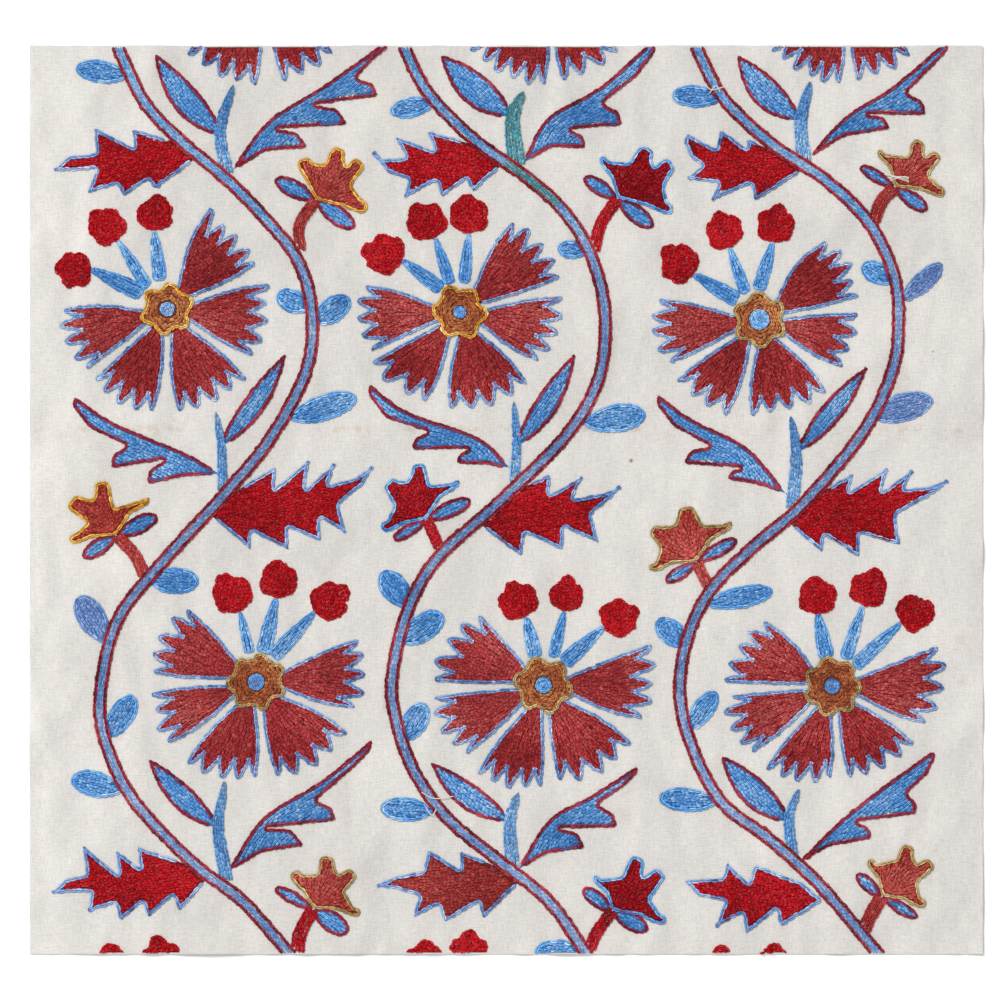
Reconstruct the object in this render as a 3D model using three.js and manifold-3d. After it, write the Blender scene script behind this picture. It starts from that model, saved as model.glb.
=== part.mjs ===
// An embroidered panel: a flat cut length of cotton with raised chain-stitched flowers and vines.
// Millimetres. The panel lies face up on Z = 0, with its middle on the origin and its top edge towards +Y.
import * as THREE from "three";
import { mergeVertices } from "three/addons/utils/BufferGeometryUtils.js";
import Module from "manifold-3d";

const wasm = await Module();
wasm.setup();

// Driving sizes of the cloth.
const CLOTH_WIDTH = 450;
const CLOTH_HEIGHT = 429;
const CLOTH_THICKNESS = 1.2;

// Driving sizes of the stitched relief.
const REST_GAP = 0.3;
const STITCH_HEIGHT = 0.8;
const STITCH_FLOOR = CLOTH_THICKNESS + REST_GAP;
const VINE_WIDTH = 6.6;
const VINE_STEPS = 30;
const ROSETTE_RADIUS = 11;
const ROSETTE_LOBES = 6;
const ROSETTE_LOBE_DEPTH = 0.9;
const ROSETTE_BED_HEIGHT = 0.4;
const ROSETTE_BED_RADIUS = 14;
const PETAL_ROOT_RADIUS = 12.9;
const PETAL_NOTCH = 0.8;
const CUT_PETAL_NOTCH = 0.88;
const BUD_LOBES = 5;
const BUD_LOBE_DEPTH = 0.11;
const BACK_STEPS = 8;
const BARB_BULGE = 0.22;
const BARB_SHOULDER = 0.55;
const EGG_WIDEST = 0.56;
const EGG_FOOT = 0.62;
const EGG_EXTRA = 0.8;
const LENS_FULLNESS = 0.9;
const LENS_EXTRA = 1;
const LEAF_SHOULDER = 0.8;
const LOBE_SHOULDER = 3.4;
const LOBE_SPREAD = 0.9;
const HOLLOW = 1.1;
const HOLLOW_BELOW = 3;
const SWELL_CLEAR = 2.9;
const SWELL_MOST = 4.4;
const OPEN_GAP = 30;
const CUT_SWELL = 3.5;
const SWELL_STEPS = [0.3, 0.7];
const TOOTH_BLUNT = 0.08;
const PETAL_EXTRA = 0.8;
const EDGE_SETBACK = 0.5;
const BLOCK_DEPTH = 40;
const STEM_TAPER = 0.5;
const CLUB_TAPER = 0.45;
const BUD_TURN = 7;

// Steps and points that round the outlines.
const STEM_STEPS = 4;
const CLUB_STEPS = 4;
const FLOWER_STEM_STEPS = 5;
const OVAL_STEPS = 8;
const LENS_STEPS = 6;
const SMALL_LEAF_STEPS = 6;
const BED_POINTS = 12;
const POINTS_PER_BUD_LOBE = 3;
const POINTS_PER_ROSETTE_LOBE = 4;
const SAME_PLACE = 1e-4;

// Roughness of the two materials.
const SILK = 0.55;
const COTTON = 0.95;

// Thread colours, as dyed.
const COLOUR = {
  cotton: 0xe6e0d8,
  blue: 0x5f9bd8,
  crimson: 0xa42e33,
  scarlet: 0xb80d18,
  madder: 0x9c2f30,
  brown: 0x9a4f27,
};

// Soft creases of the cloth: a ridge or trough along a line, spread over a width and gone at its ends.
const CREASES = [
  { from: [-220, 25], to: [-217, -60], spread: 3.2, rise: 1.3 },
  { from: [-216, -55], to: [-207, -100], spread: 2.8, rise: 0.9 },
  { from: [-222, -85], to: [-210, -150], spread: 3.6, rise: 1.2 },
  { from: [-221, 150], to: [-219, 70], spread: 2.6, rise: 0.5 },
  { from: [-222, -160], to: [-219, -212], spread: 2.8, rise: 0.6 },
  { from: [212, 142], to: [224, 146], spread: 3.5, rise: 0.8 },
  { from: [206, 36], to: [224, 30], spread: 4.5, rise: 0.9 },
  { from: [214, 5], to: [217, -60], spread: 3.4, rise: 0.7 },
  { from: [216, -120], to: [213, -200], spread: 3.4, rise: 0.7 },
  { from: [214, 110], to: [217, 60], spread: 3.2, rise: 0.5 },
];
const CREASE_STEPS = { across: 6, along: 10 };
const CREASE_REACH = 2;
const CREASE_SUNK = 0.05;

// Middle lines of the three vines, from the top edge down.
const VINES = [
  {
    name: "vine_left",
    line: [
      [-184.5, 216], [-170.6, 187.5], [-153.4, 169.3], [-132.5, 151.6], [-114.5, 133.6], [-98.4, 112.8],
      [-91.8, 88.8], [-94.6, 60.6], [-111.7, 28.5], [-134.4, 1], [-162.5, -29.6], [-183, -56],
      [-191, -86], [-190.2, -111], [-176.5, -141], [-148.5, -171], [-124, -190], [-101, -216],
    ],
  },
  {
    name: "vine_middle",
    line: [
      [-49.5, 216], [-36.8, 192], [-14.5, 169.6], [14.5, 148.4], [32, 130], [43, 107],
      [46.8, 82], [43.2, 56], [28.8, 31], [-2, 0], [-31, -26], [-44.8, -48],
      [-52.4, -74], [-53.6, -96], [-45, -125], [-28, -150], [-4, -170], [20.5, -190], [39, -216],
    ],
  },
  {
    name: "vine_right",
    line: [
      [88.7, 216], [101.5, 191], [124, 169], [150, 151.5], [171, 131], [183, 106],
      [185.2, 82], [182, 60], [168.5, 32], [140, -2], [117, -22], [97, -42],
      [86, -64], [82, -88], [86, -112], [101, -142], [124, -160], [148, -182], [177, -216],
    ],
  },
];

// Plain blue stems: foot on the vine, a middle point, the end under the flower, and the width.
const STEMS = [
  { vine: 0, foot: [-132, 154], middle: [-135, 175], end: [-129, 195.5], width: 5.5 },
  { vine: 0, foot: [-134, 4], middle: [-134.5, 25], end: [-137, 41], width: 4.4 },
  { vine: 0, foot: [-132, -180], middle: [-136, -155], end: [-133, -133.5], width: 5.6 },
  { vine: 1, foot: [5, 158], middle: [3, 180], end: [8, 192.5], width: 7.6 },
  { vine: 1, foot: [4, 8], middle: [4.8, 28], end: [3.5, 46], width: 4.4 },
  { vine: 1, foot: [3, -174], middle: [1.6, -153], end: [5.5, -138.5], width: 6 },
  { vine: 2, foot: [141, 158], middle: [139, 178], end: [143.5, 197], width: 6.2 },
  { vine: 2, foot: [135, -4], middle: [137, 20], end: [134.5, 39], width: 5.6 },
  { vine: 2, foot: [136, -173], middle: [133.5, -151], end: [138, -137], width: 5.2 },
];

// Plain oval leaves: the pointed foot on the vine, the round end and the width.
const OVALS = [
  { vine: 0, foot: [-178, 200], end: [-203.5, 204], width: 10 },
  { vine: 0, foot: [-92, 90], end: [-108.5, 97], width: 10 },
  { vine: 0, foot: [-91, 83], end: [-74, 95.5], width: 11 },
  { vine: 0, foot: [-103, 38], end: [-70.5, 48.5], width: 11.5 },
  { vine: 0, foot: [-170, -38], end: [-145, -38.5], width: 11.5 },
  { vine: 0, foot: [-188, -68], end: [-202, -45.5], width: 12.5 },
  { vine: 0, foot: [-189, -113], end: [-175.5, -92.5], width: 11 },
  { vine: 0, foot: [-181, -137.5], end: [-205.5, -131.5], width: 11.5 },
  { vine: 1, foot: [-33, 188], end: [-55, 183], width: 8.6 },
  { vine: 1, foot: [40, 118], end: [24, 118.5], width: 8 },
  { vine: 1, foot: [36, 36], end: [66, 40.5], width: 12.5 },
  { vine: 1, foot: [-45, -51], end: [-59, -34], width: 12 },
  { vine: 1, foot: [-51, -68], end: [-29.5, -54], width: 12 },
  { vine: 1, foot: [-49.5, -115], end: [-38, -96], width: 11 },
  { vine: 1, foot: [-34, -147], end: [-59.5, -145.5], width: 10.5 },
  { vine: 1, foot: [38, -214.5], end: [13.5, -213.5], width: 11.5 },
  { vine: 2, foot: [103, 190], end: [78, 191], width: 9.5 },
  { vine: 2, foot: [184, 103], end: [167.5, 110.5], width: 9.5 },
  { vine: 2, foot: [186.5, 93.5], end: [206, 111.5], width: 8.6 },
  { vine: 2, foot: [170.5, 39], end: [201.5, 47.5], width: 12.5 },
  { vine: 2, foot: [93.5, -49.5], end: [126, -43], width: 9.5 },
  { vine: 2, foot: [86, -69.5], end: [71, -57], width: 11 },
  { vine: 2, foot: [85, -109.5], end: [99.5, -90.5], width: 9.5 },
  { vine: 2, foot: [100, -143], end: [72, -140.5], width: 10.5 },
];

// Lens leaves: the foot on a stem, the pointed end, the width, and how far the middle bows sideways.
const LENSES = [
  { vine: 0, foot: [-134, 171.5], end: [-166, 210.5], width: 12.5, bow: 2.3 },
  { vine: 0, foot: [-135, 25], end: [-104, 69], width: 9.5, bow: -1.6 },
  { vine: 0, foot: [-136, -155], end: [-169, -122.5], width: 10.5, bow: 1.6 },
  { vine: 1, foot: [2.5, 181], end: [-31, 210], width: 14, bow: 1.6 },
  { vine: 1, foot: [4.6, 25], end: [32.5, 69], width: 10, bow: -1.6 },
  { vine: 1, foot: [1.8, -152], end: [-36, -124], width: 11, bow: 2 },
  { vine: 2, foot: [138.6, 179], end: [109, 210], width: 13, bow: 2.4 },
  { vine: 2, foot: [137, 22], end: [170.5, 63], width: 9.5, bow: -0.6 },
  { vine: 2, foot: [133.5, -152], end: [101.5, -121], width: 12.5, bow: 1.6 },
];

// Barbed leaves: foot, two points of the bowed back, tip, a point under the blade, how far the heel swells,
// and each notch and barb from the tip back.
const BARBED = [
  {
    vine: 0, foot: [-131, 154], back: [[-113, 178.5], [-86, 196]], tip: [-55, 218],
    under: [-63.5, 207], heel: 0.12,
    barbs: [{ notch: [-71, 199], end: [-60, 190.5] }, { notch: [-91, 186.5], end: [-74.5, 177] },
      { notch: [-109, 175], end: [-93.5, 166] }],
  },
  {
    vine: 0, foot: [-134, 12], back: [[-152, 22.5], [-185, 36.5]], tip: [-204.5, 49.5],
    under: [-197, 34], heel: 0.04,
    barbs: [{ notch: [-179, 25.5], end: [-187, 14.5] }, { notch: [-161, 19], end: [-170, 7] }],
  },
  {
    vine: 0, foot: [-133, -177], back: [[-115, -150], [-88, -133]], tip: [-63, -112.5],
    under: [-73, -127.5], heel: 0.1,
    barbs: [{ notch: [-90, -142], end: [-80, -151.5] }, { notch: [-114, -155], end: [-95, -163.5] }],
  },
  {
    vine: 1, foot: [7, 158], back: [[19, 180], [44, 195]], tip: [70, 218],
    under: [62, 200], heel: 0.14,
    barbs: [{ notch: [45.5, 187], end: [55, 176.5] }, { notch: [30, 175], end: [38, 166] }],
  },
  {
    vine: 1, foot: [3, 14.5], back: [[-13, 29.5], [-47, 42]], tip: [-65, 55.5],
    under: [-57, 38.5], heel: 0.03,
    barbs: [{ notch: [-36.5, 32], end: [-45, 23.5] }, { notch: [-17, 24], end: [-24, 17] }],
  },
  {
    vine: 1, foot: [4, -176], back: [[20, -151], [41, -139]], tip: [62.5, -125],
    under: [55.5, -135.5], heel: 0.1,
    barbs: [{ notch: [43, -144], end: [52.5, -155] }, { notch: [24.5, -155], end: [37.5, -164.5] }],
  },
  {
    vine: 2, foot: [141, 160], back: [[160, 181], [182, 195]], tip: [209, 218],
    under: [200, 203], heel: 0.1,
    barbs: [{ notch: [189, 192], end: [198.5, 181.5] }, { notch: [170, 182], end: [182, 175] }],
  },
  {
    vine: 2, foot: [133.5, 2], back: [[114, 24.5], [88, 38]], tip: [71, 50.5],
    under: [79, 34.5], heel: 0.05,
    barbs: [{ notch: [96.5, 25], end: [83, 17] }, { notch: [111.5, 15], end: [104, 9.5] }],
  },
  {
    vine: 2, foot: [135, -174], back: [[158, -151], [181, -133]], tip: [202, -118],
    under: [198.5, -130], heel: 0.09,
    barbs: [{ notch: [189, -139], end: [194, -148.5] }, { notch: [165, -152], end: [173, -160] }],
  },
];

// Carnation heads: the middle, and for each petal its first and last tooth in degrees, reach and teeth.
const HEADS = [
  {
    middle: [-160, 90],
    petals: [
      { first: 27, last: 67, reach: 50, teeth: 5 }, { first: -29, last: 14, reach: 48.5, teeth: 5 },
      { first: -84, last: -41, reach: 49.5, teeth: 5 }, { first: -136, last: -98, reach: 50, teeth: 5 },
      { first: -180, last: -143, reach: 49.5, teeth: 5 },
    ],
    stamens: [
      { root: [-172, 97.5], end: [-195, 109], width: 6.4, bud: [-203.5, 108.5], size: 9 },
      { root: [-171.5, 103], end: [-183, 122], width: 4.8, bud: [-188.5, 129], size: 9.4 },
      { root: [-163.5, 103], end: [-166.5, 125], width: 5.4, bud: [-166, 134.5], size: 8.8 },
    ],
  },
  {
    middle: [-22, 88.5],
    petals: [
      { first: 19, last: 60, reach: 50.5, teeth: 5 }, { first: -32, last: 9, reach: 47, teeth: 5 },
      { first: -96, last: -46, reach: 46.5, teeth: 5 }, { first: -151, last: -111, reach: 46.5, teeth: 4 },
      { first: -196, last: -156, reach: 48, teeth: 5 },
    ],
    stamens: [
      { root: [-31, 100], end: [-47, 112.5], width: 5.6, bud: [-57, 116], size: 10 },
      { root: [-26.5, 102], end: [-33, 123], width: 4.8, bud: [-37.5, 131], size: 9.8 },
      { root: [-20, 102], end: [-17.5, 124.5], width: 4.6, bud: [-17.5, 134], size: 9.6 },
    ],
  },
  {
    middle: [119.5, 85],
    petals: [
      { first: 13, last: 50, reach: 49.5, teeth: 5 }, { first: -30, last: 4, reach: 46, teeth: 4 },
      { first: -95, last: -47, reach: 44.8, teeth: 5 }, { first: -144, last: -109, reach: 47.4, teeth: 4 },
      { first: -192, last: -154, reach: 49.8, teeth: 5 },
    ],
    stamens: [
      { root: [109.5, 94], end: [89, 106], width: 6, bud: [82, 111.5], size: 9.8 },
      { root: [112.5, 98.5], end: [105.5, 118.5], width: 4.6, bud: [103, 126.5], size: 9.2 },
      { root: [119, 98.5], end: [125.5, 119.5], width: 5.4, bud: [127, 129.5], size: 9.2 },
    ],
  },
  {
    middle: [-118, -86],
    petals: [
      { first: 133, last: 175, reach: 50, teeth: 5 }, { first: 186, last: 215, reach: 50.5, teeth: 4 },
      { first: 229, last: 270, reach: 48, teeth: 5 }, { first: 282, last: 331, reach: 48, teeth: 5 },
      { first: 345, last: 383, reach: 51.5, teeth: 5 },
    ],
    stamens: [
      { root: [-121, -73], end: [-125, -54.5], width: 4.2, bud: [-129, -45], size: 9.8 },
      { root: [-115, -73.5], end: [-109, -49], width: 5.8, bud: [-107.5, -38.5], size: 9.4 },
      { root: [-110.5, -74.5], end: [-92.5, -54.5], width: 5.8, bud: [-84, -48], size: 9.6 },
    ],
  },
  {
    middle: [17.5, -87.5],
    petals: [
      { first: 132, last: 178, reach: 50.5, teeth: 5 }, { first: 186, last: 222, reach: 52.5, teeth: 5 },
      { first: 233, last: 269, reach: 50, teeth: 5 }, { first: 279, last: 327, reach: 48, teeth: 5 },
      { first: 341, last: 381, reach: 52, teeth: 5 },
    ],
    stamens: [
      { root: [14, -75], end: [9.5, -55.5], width: 5.6, bud: [5.5, -48], size: 9.6 },
      { root: [22, -74.5], end: [27, -55.5], width: 4.6, bud: [28.5, -45.5], size: 8.4 },
      { root: [27.5, -76.5], end: [43.5, -61.5], width: 6, bud: [52.5, -56], size: 9.2 },
    ],
  },
  {
    middle: [154, -88],
    petals: [
      { first: 136, last: 178, reach: 49.5, teeth: 5 }, { first: 185, last: 220, reach: 51.5, teeth: 5 },
      { first: 231, last: 269, reach: 48, teeth: 5 }, { first: 280, last: 325, reach: 45.6, teeth: 5 },
      { first: 338, last: 381, reach: 51.5, teeth: 5 },
    ],
    stamens: [
      { root: [151.5, -75.5], end: [147, -54.5], width: 6, bud: [147, -46], size: 9.4 },
      { root: [159.5, -76.5], end: [167.5, -52.5], width: 5, bud: [171, -42.5], size: 9.2 },
      { root: [164, -79], end: [183, -60.5], width: 5.4, bud: [192.5, -53.5], size: 9.2 },
    ],
  },
];

// Petals that the cut at the top edge leaves, of heads whose middles lie beyond it.
const CUT_PETALS = [
  { middle: [-115.4, 245], first: -136, last: -93, reach: 49.5, teeth: 5 },
  { middle: [-115.4, 245], first: -78, last: -45, reach: 48.5, teeth: 4 },
  { middle: [20, 244], first: -140, last: -92, reach: 49, teeth: 6 },
  { middle: [20, 244], first: -82, last: -44, reach: 46.5, teeth: 4 },
  { middle: [161.4, 244], first: -139, last: -95, reach: 48.5, teeth: 6 },
  { middle: [161.4, 244], first: -85, last: -49, reach: 46, teeth: 4 },
];

// Buds that the cut at the bottom edge leaves.
const CUT_BUDS = [
  { middle: [-187.5, -220.5], size: 9.4 },
  { middle: [-163, -217], size: 9 },
  { middle: [-39, -218.5], size: 9.2 },
  { middle: [-17.5, -214], size: 8.8 },
  { middle: [101, -221], size: 8.6 },
  { middle: [126.2, -219.5], size: 8.6 },
];

// Serrated leaves: two root points on the vine, the tip, and along each side from root to tip
// the teeth with the valleys between them, then the blade's start and its middle.
const SERRATED = [
  {
    roots: [[-158, 168.5], [-149.5, 160.3]], tip: [-214, 155.5],
    upper: [[-177, 175.2], [-175.5, 166], [-194.8, 176], [-193.7, 162.2], [-206.5, 161.2]],
    lower: [[-166.2, 146.4], [-169, 151.3], [-180.6, 142.8], [-183.8, 149], [-198, 144.3],
      [-193.5, 157], [-203, 156.2]],
  },
  {
    roots: [[-17, 168], [-4.5, 158.5]], tip: [-63.5, 165],
    upper: [[-37.5, 174], [-33.5, 164.6], [-52.6, 171.3], [-47.3, 161.6], [-59.3, 160.6]],
    lower: [[-15.8, 145], [-18.5, 151.5], [-30.7, 142.5], [-32.8, 150.5], [-48.6, 142.2], [-46, 151.2],
      [-56.5, 154.6]],
  },
  {
    roots: [[125, 164], [136.5, 155]], tip: [92.8, 157.8],
    upper: [[113.6, 170.6], [114, 165.5], [101, 175], [99.2, 165.3], [85.2, 173.5], [84.2, 167.5],
      [87.4, 161.1]],
    lower: [[117, 140.7], [115.5, 149], [96.3, 140.9], [100.3, 149.2], [84.7, 151.5]],
  },
  {
    roots: [[-127, 4], [-137, -6.5]], tip: [-62.7, 16.3],
    upper: [[-108.6, 15.8], [-109.4, 4.8], [-92.9, 19.2], [-95, 5], [-80.6, 17.8], [-84, 6.8],
      [-71, 10.6]],
    lower: [[-120.8, -23.5], [-120, -15], [-102.8, -24], [-103, -13.2], [-87.3, -19.8], [-87.8, -8.6],
      [-75.5, -16.2], [-79, -2.4], [-67.2, 7.4]],
  },
  {
    roots: [[2.5, 3], [-9, -11.5]], tip: [54.6, 7],
    upper: [[20.9, 12.3], [20.4, 2.4], [36.4, 11.3], [31.6, 0.4], [47, 3.4]],
    lower: [[7.4, -27], [8.8, -15.6], [26.8, -24], [27.2, -13], [43.9, -20.8], [40.2, -7], [50, 1]],
  },
  {
    roots: [[145, 1], [137, -11]], tip: [209.4, 9.5],
    upper: [[164, 12.6], [161.8, 3.8], [180.7, 15.5], [177, 3.8], [192.4, 14.5], [187.6, 4.8],
      [200, 6.4]],
    lower: [[149.3, -25], [150, -16.7], [166.8, -27.2], [166.8, -16], [186.3, -21.7], [183.8, -7.2],
      [203, 3.6]],
  },
  {
    roots: [[-153, -172.5], [-145, -180.5]], tip: [-215.5, -186],
    upper: [[-174.5, -163.6], [-172.5, -174.2], [-184.3, -165.2], [-182.9, -177.2], [-200, -162.9],
      [-198.3, -176.6], [-208, -179.2]],
    lower: [[-154.5, -194.6], [-157.2, -186.8], [-168.9, -197.5], [-171.9, -190], [-182.1, -199],
      [-184.6, -190.6], [-198, -195], [-195.8, -185.3], [-206, -185.4]],
  },
  {
    roots: [[-10, -172], [3, -181]], tip: [-62, -182.5],
    upper: [[-22, -165.7], [-21.6, -174.8], [-37.1, -164.9], [-38.9, -175.3], [-51.5, -177.4]],
    lower: [[-10.8, -198.2], [-13.4, -190], [-29.3, -199.8], [-32, -191.3], [-44, -197.2],
      [-41.3, -187.2], [-52, -184]],
  },
  {
    roots: [[136, -180], [146, -189]], tip: [84, -179.6],
    upper: [[117, -172], [114.5, -181], [104.1, -170.9], [102.4, -178.7], [93.4, -179.2]],
    lower: [[129.4, -202], [127.8, -193.5], [112.9, -205.4], [111.7, -195.4], [98.3, -202.1],
      [103.6, -189.8], [90.5, -187.2]],
  },
];

// Side flowers: the neck, the lobes in order with half the width of each end, the valleys between them,
// the stem's middle and foot, and two small leaves.
const SIDE_FLOWERS = [
  {
    neck: [-90, 141.5],
    lobes: [[-95.8, 161.3, 3.1], [-78.5, 166.2, 2.8], [-68.3, 159.6, 2.8], [-65.5, 138.2, 2.6]],
    valleys: [[-86, 158.6], [-75.4, 157.4], [-72.8, 148.5]],
    bend: [-97.5, 130], foot: [-97.5, 118], stem: 5,
    leaves: [{ end: [-109.5, 151.5], width: 9 }, { end: [-71.5, 128.5], width: 9.5 }],
  },
  {
    neck: [52.3, 142],
    lobes: [[45, 162.3, 1.4], [67, 166.2, 3.2], [78.3, 158.8, 3.2], [78.8, 137, 2.2]],
    valleys: [[57.9, 159.2], [70, 157], [75, 148.2]],
    bend: [44.5, 130], foot: [41.5, 118], stem: 5.4,
    leaves: [{ end: [36.5, 152.5], width: 8 }, { end: [69.5, 128.5], width: 9 }],
  },
  {
    neck: [183.5, 147.5],
    lobes: [[175.8, 165.6, 1.2], [195.8, 169.8, 2.6], [204.2, 163.2, 2.4], [207.5, 145.2, 2]],
    valleys: [[189.6, 162.4], [198.2, 162], [199.7, 153.6]],
    bend: [177, 140.5], foot: [173.5, 131.5], stem: 5.8,
    leaves: [{ end: [166.5, 157.5], width: 6.5 }, { end: [199, 136.5], width: 8 }],
  },
  {
    neck: [-184, -17],
    lobes: [[-206.5, -18.6, 1.8], [-205.6, -0.2, 3.4], [-191.5, 8.8, 3], [-168.3, 1.4, 0.8]],
    valleys: [[-198, -10.8], [-195, 0.2], [-184.9, -3.8]],
    bend: [-175.5, -26], foot: [-171, -35], stem: 5.4,
    leaves: [{ end: [-164.5, -7.5], width: 9 }, { end: [-200, -27], width: 8.5 }],
  },
  {
    neck: [-37.5, -9.5],
    lobes: [[-59.3, -13, 2], [-56.2, 8.4, 3.2], [-41.8, 17, 2.8], [-22, 9.6, 0.8]],
    valleys: [[-53.2, -2.7], [-46.7, 9.1], [-36.1, 6.9]],
    bend: [-34, -17], foot: [-31, -24], stem: 5,
    leaves: [{ end: [-16.5, 0], width: 8.5 }, { end: [-53.5, -19], width: 6.5 }],
  },
  {
    neck: [89.8, -29.5],
    lobes: [[67.2, -32.3, 1.4], [68.6, -13.7, 2.8], [84.6, -3.3, 3.6], [106.8, -10.2, 0.9]],
    valleys: [[72.5, -22.5], [79.5, -11.6], [93.2, -11.8]],
    bend: [93.5, -37], foot: [97, -43], stem: 5,
    leaves: [{ end: [109, -18.5], width: 7.5 }, { end: [75, -39], width: 7 }],
  },
  {
    neck: [-91.2, -193.3],
    lobes: [[-100.3, -175.4, 2.4], [-83.8, -168.2, 3], [-72, -175.6, 2.6], [-68.6, -195, 1.6]],
    valleys: [[-89.4, -176.8], [-79.3, -176.8], [-76.2, -185.2]],
    bend: [-97, -204], foot: [-98.5, -213], stem: 6,
    leaves: [{ end: [-109.5, -183], width: 6.5 }, { end: [-74.5, -204.5], width: 10.5 }],
  },
  {
    neck: [50, -194.2],
    lobes: [[41.5, -177, 1.2], [62.8, -168.8, 3], [73.8, -176, 3], [75.6, -198.8, 1.8]],
    valleys: [[54.3, -178], [64.8, -178], [67.9, -188.5]],
    bend: [43, -204], foot: [39.5, -211.5], stem: 5.4,
    leaves: [{ end: [36, -183.5], width: 8 }, { end: [67, -203.5], width: 9 }],
  },
  {
    neck: [177, -187.3],
    lobes: [[171.6, -169.5, 1.5], [190.5, -163.2, 2.8], [201, -171.2, 2.6], [198.5, -191, 1.8]],
    valleys: [[184.2, -169.4], [193.9, -172], [194.3, -181.2]],
    bend: [172, -196.5], foot: [169, -203.5], stem: 6,
    leaves: [{ end: [165, -176.5], width: 7 }, { end: [194.5, -197.5], width: 6.5 }],
  },
];

const radians = THREE.MathUtils.degToRad;
const point = ([x, y]) => new THREE.Vector2(x, y);
const onCircle = (middle, angle, radius) =>
  new THREE.Vector2(middle.x + radius * Math.cos(angle), middle.y + radius * Math.sin(angle));

// A closed solid from a geometry, with only shared positions kept.
function solid(geometry) {
  const bare = new THREE.BufferGeometry();
  bare.setAttribute("position", geometry.toNonIndexed().getAttribute("position"));
  const merged = mergeVertices(bare, SAME_PLACE);
  return new wasm.Manifold(
    new wasm.Mesh({
      numProp: 3,
      vertProperties: merged.attributes.position.array,
      triVerts: new Uint32Array(merged.index.array),
    }),
  );
}

// A flat raised patch with the given outline.
function patch(outline, height = STITCH_HEIGHT, floor = STITCH_FLOOR) {
  const raised = new THREE.ExtrudeGeometry(new THREE.Shape(outline), { depth: height, bevelEnabled: false });
  if (!raised.index) raised.setIndex([...Array(raised.attributes.position.count).keys()]);
  return solid(raised.translate(0, 0, floor));
}

// A band along a line, with a width at each of its steps.
function band(line, widthAt, steps, extra = 0) {
  const curve = new THREE.SplineCurve(line.map(point));
  const left = [];
  const right = [];
  for (let i = 0; i <= steps; i++) {
    const along = i / steps;
    const middle = curve.getPoint(along);
    const across = curve.getTangent(along).rotateAround(new THREE.Vector2(), Math.PI / 2);
    const half = (widthAt(along) + extra) / 2;
    left.push(middle.clone().addScaledVector(across, half));
    right.push(middle.clone().addScaledVector(across, -half));
  }
  return [...left, ...right.reverse()];
}

// Half widths of an egg shape, from its narrower foot to its round end.
function eggHalf(t) {
  const rise = Math.sin((Math.PI / 2) * Math.min(t / EGG_WIDEST, 1)) ** EGG_FOOT;
  return rise * Math.sqrt(1 - (Math.max(t - EGG_WIDEST, 0) / (1 - EGG_WIDEST)) ** 2);
}

// Half widths of a lens, pointed at both ends.
function lensHalf(t) {
  return Math.sin(Math.PI * t ** LENS_FULLNESS) ** LEAF_SHOULDER;
}

// A leaf between a foot and an end, with a profile of half widths.
function leaf(foot, end, width, profile, steps, bow = 0) {
  const from = point(foot);
  const along = point(end).sub(from);
  const across = new THREE.Vector2(-along.y, along.x).normalize();
  const side = [];
  for (let i = 1; i < steps; i++) {
    const t = (1 - Math.cos((Math.PI * i) / steps)) / 2;
    side.push({ t, half: (width / 2) * profile(t) });
  }
  const at = ({ t, half }, sign) => {
    const aside = sign * half + bow * Math.sin(Math.PI * t);
    return from.clone().addScaledVector(along, t).addScaledVector(across, aside);
  };
  return [from, ...side.map((s) => at(s, -1)), point(end), ...side.reverse().map((s) => at(s, 1))];
}

// How far each petal's sides swell, in degrees, so that the gaps between petals stay narrow.
function swells(petals) {
  const inOrder = petals.toSorted((one, other) => one.first - other.first);
  const swellOf = (gap) => THREE.MathUtils.clamp(gap / 2 - SWELL_CLEAR, 0, SWELL_MOST);
  return petals.map((row) => {
    const place = inOrder.indexOf(row);
    const below = inOrder[place - 1]?.last ?? row.first - OPEN_GAP;
    const above = inOrder[place + 1]?.first ?? row.last + OPEN_GAP;
    return [swellOf(row.first - below), swellOf(above - row.last)];
  });
}

// A fan petal: sides that swell outwards from its root, and blunt teeth along its outer edge.
function petal(middle, { first, last, reach, teeth }, [one, other], notch = PETAL_NOTCH) {
  const centre = point(middle);
  const far = reach + PETAL_EXTRA;
  const step = (last - first) / (teeth - 1);
  const at = (angle, radius) => onCircle(centre, radians(angle), radius);
  const side = (angle) =>
    SWELL_STEPS.map((t) => at(angle, PETAL_ROOT_RADIUS + (far - PETAL_ROOT_RADIUS) * t));
  const outline = [at(first, PETAL_ROOT_RADIUS), ...side(first - one)];
  for (let i = 0; i < teeth; i++) {
    const angle = first + step * i;
    outline.push(at(angle - step * TOOTH_BLUNT, far), at(angle + step * TOOTH_BLUNT, far));
    if (i < teeth - 1) outline.push(at(angle + step / 2, far * notch));
  }
  return [...outline, ...side(last + other).reverse(), at(last, PETAL_ROOT_RADIUS)];
}

// A round shape with shallow lobes.
function lobed(middle, radius, lobes, depth, points, turn = 0) {
  const centre = point(middle);
  const outline = [];
  for (let i = 0; i < points; i++) {
    const angle = (i / points) * 2 * Math.PI;
    outline.push(onCircle(centre, angle, radius + depth * Math.cos(lobes * (angle - turn))));
  }
  return outline;
}

// A bud of five lobes, turned by its place.
function bud(middle, size) {
  const turn = radians(middle[0] * BUD_TURN);
  return lobed(middle, size, BUD_LOBES, size * BUD_LOBE_DEPTH, BUD_LOBES * POINTS_PER_BUD_LOBE, turn);
}

// A point part of the way along a line and pushed off it, towards a target.
function offLine(from, to, part, push, target) {
  const run = to.clone().sub(from);
  const middle = from.clone().addScaledVector(run, part);
  const aside = new THREE.Vector2(-run.y, run.x).multiplyScalar(push);
  const [one, other] = [middle.clone().add(aside), middle.clone().sub(aside)];
  return one.distanceTo(target) < other.distanceTo(target) ? one : other;
}

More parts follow.
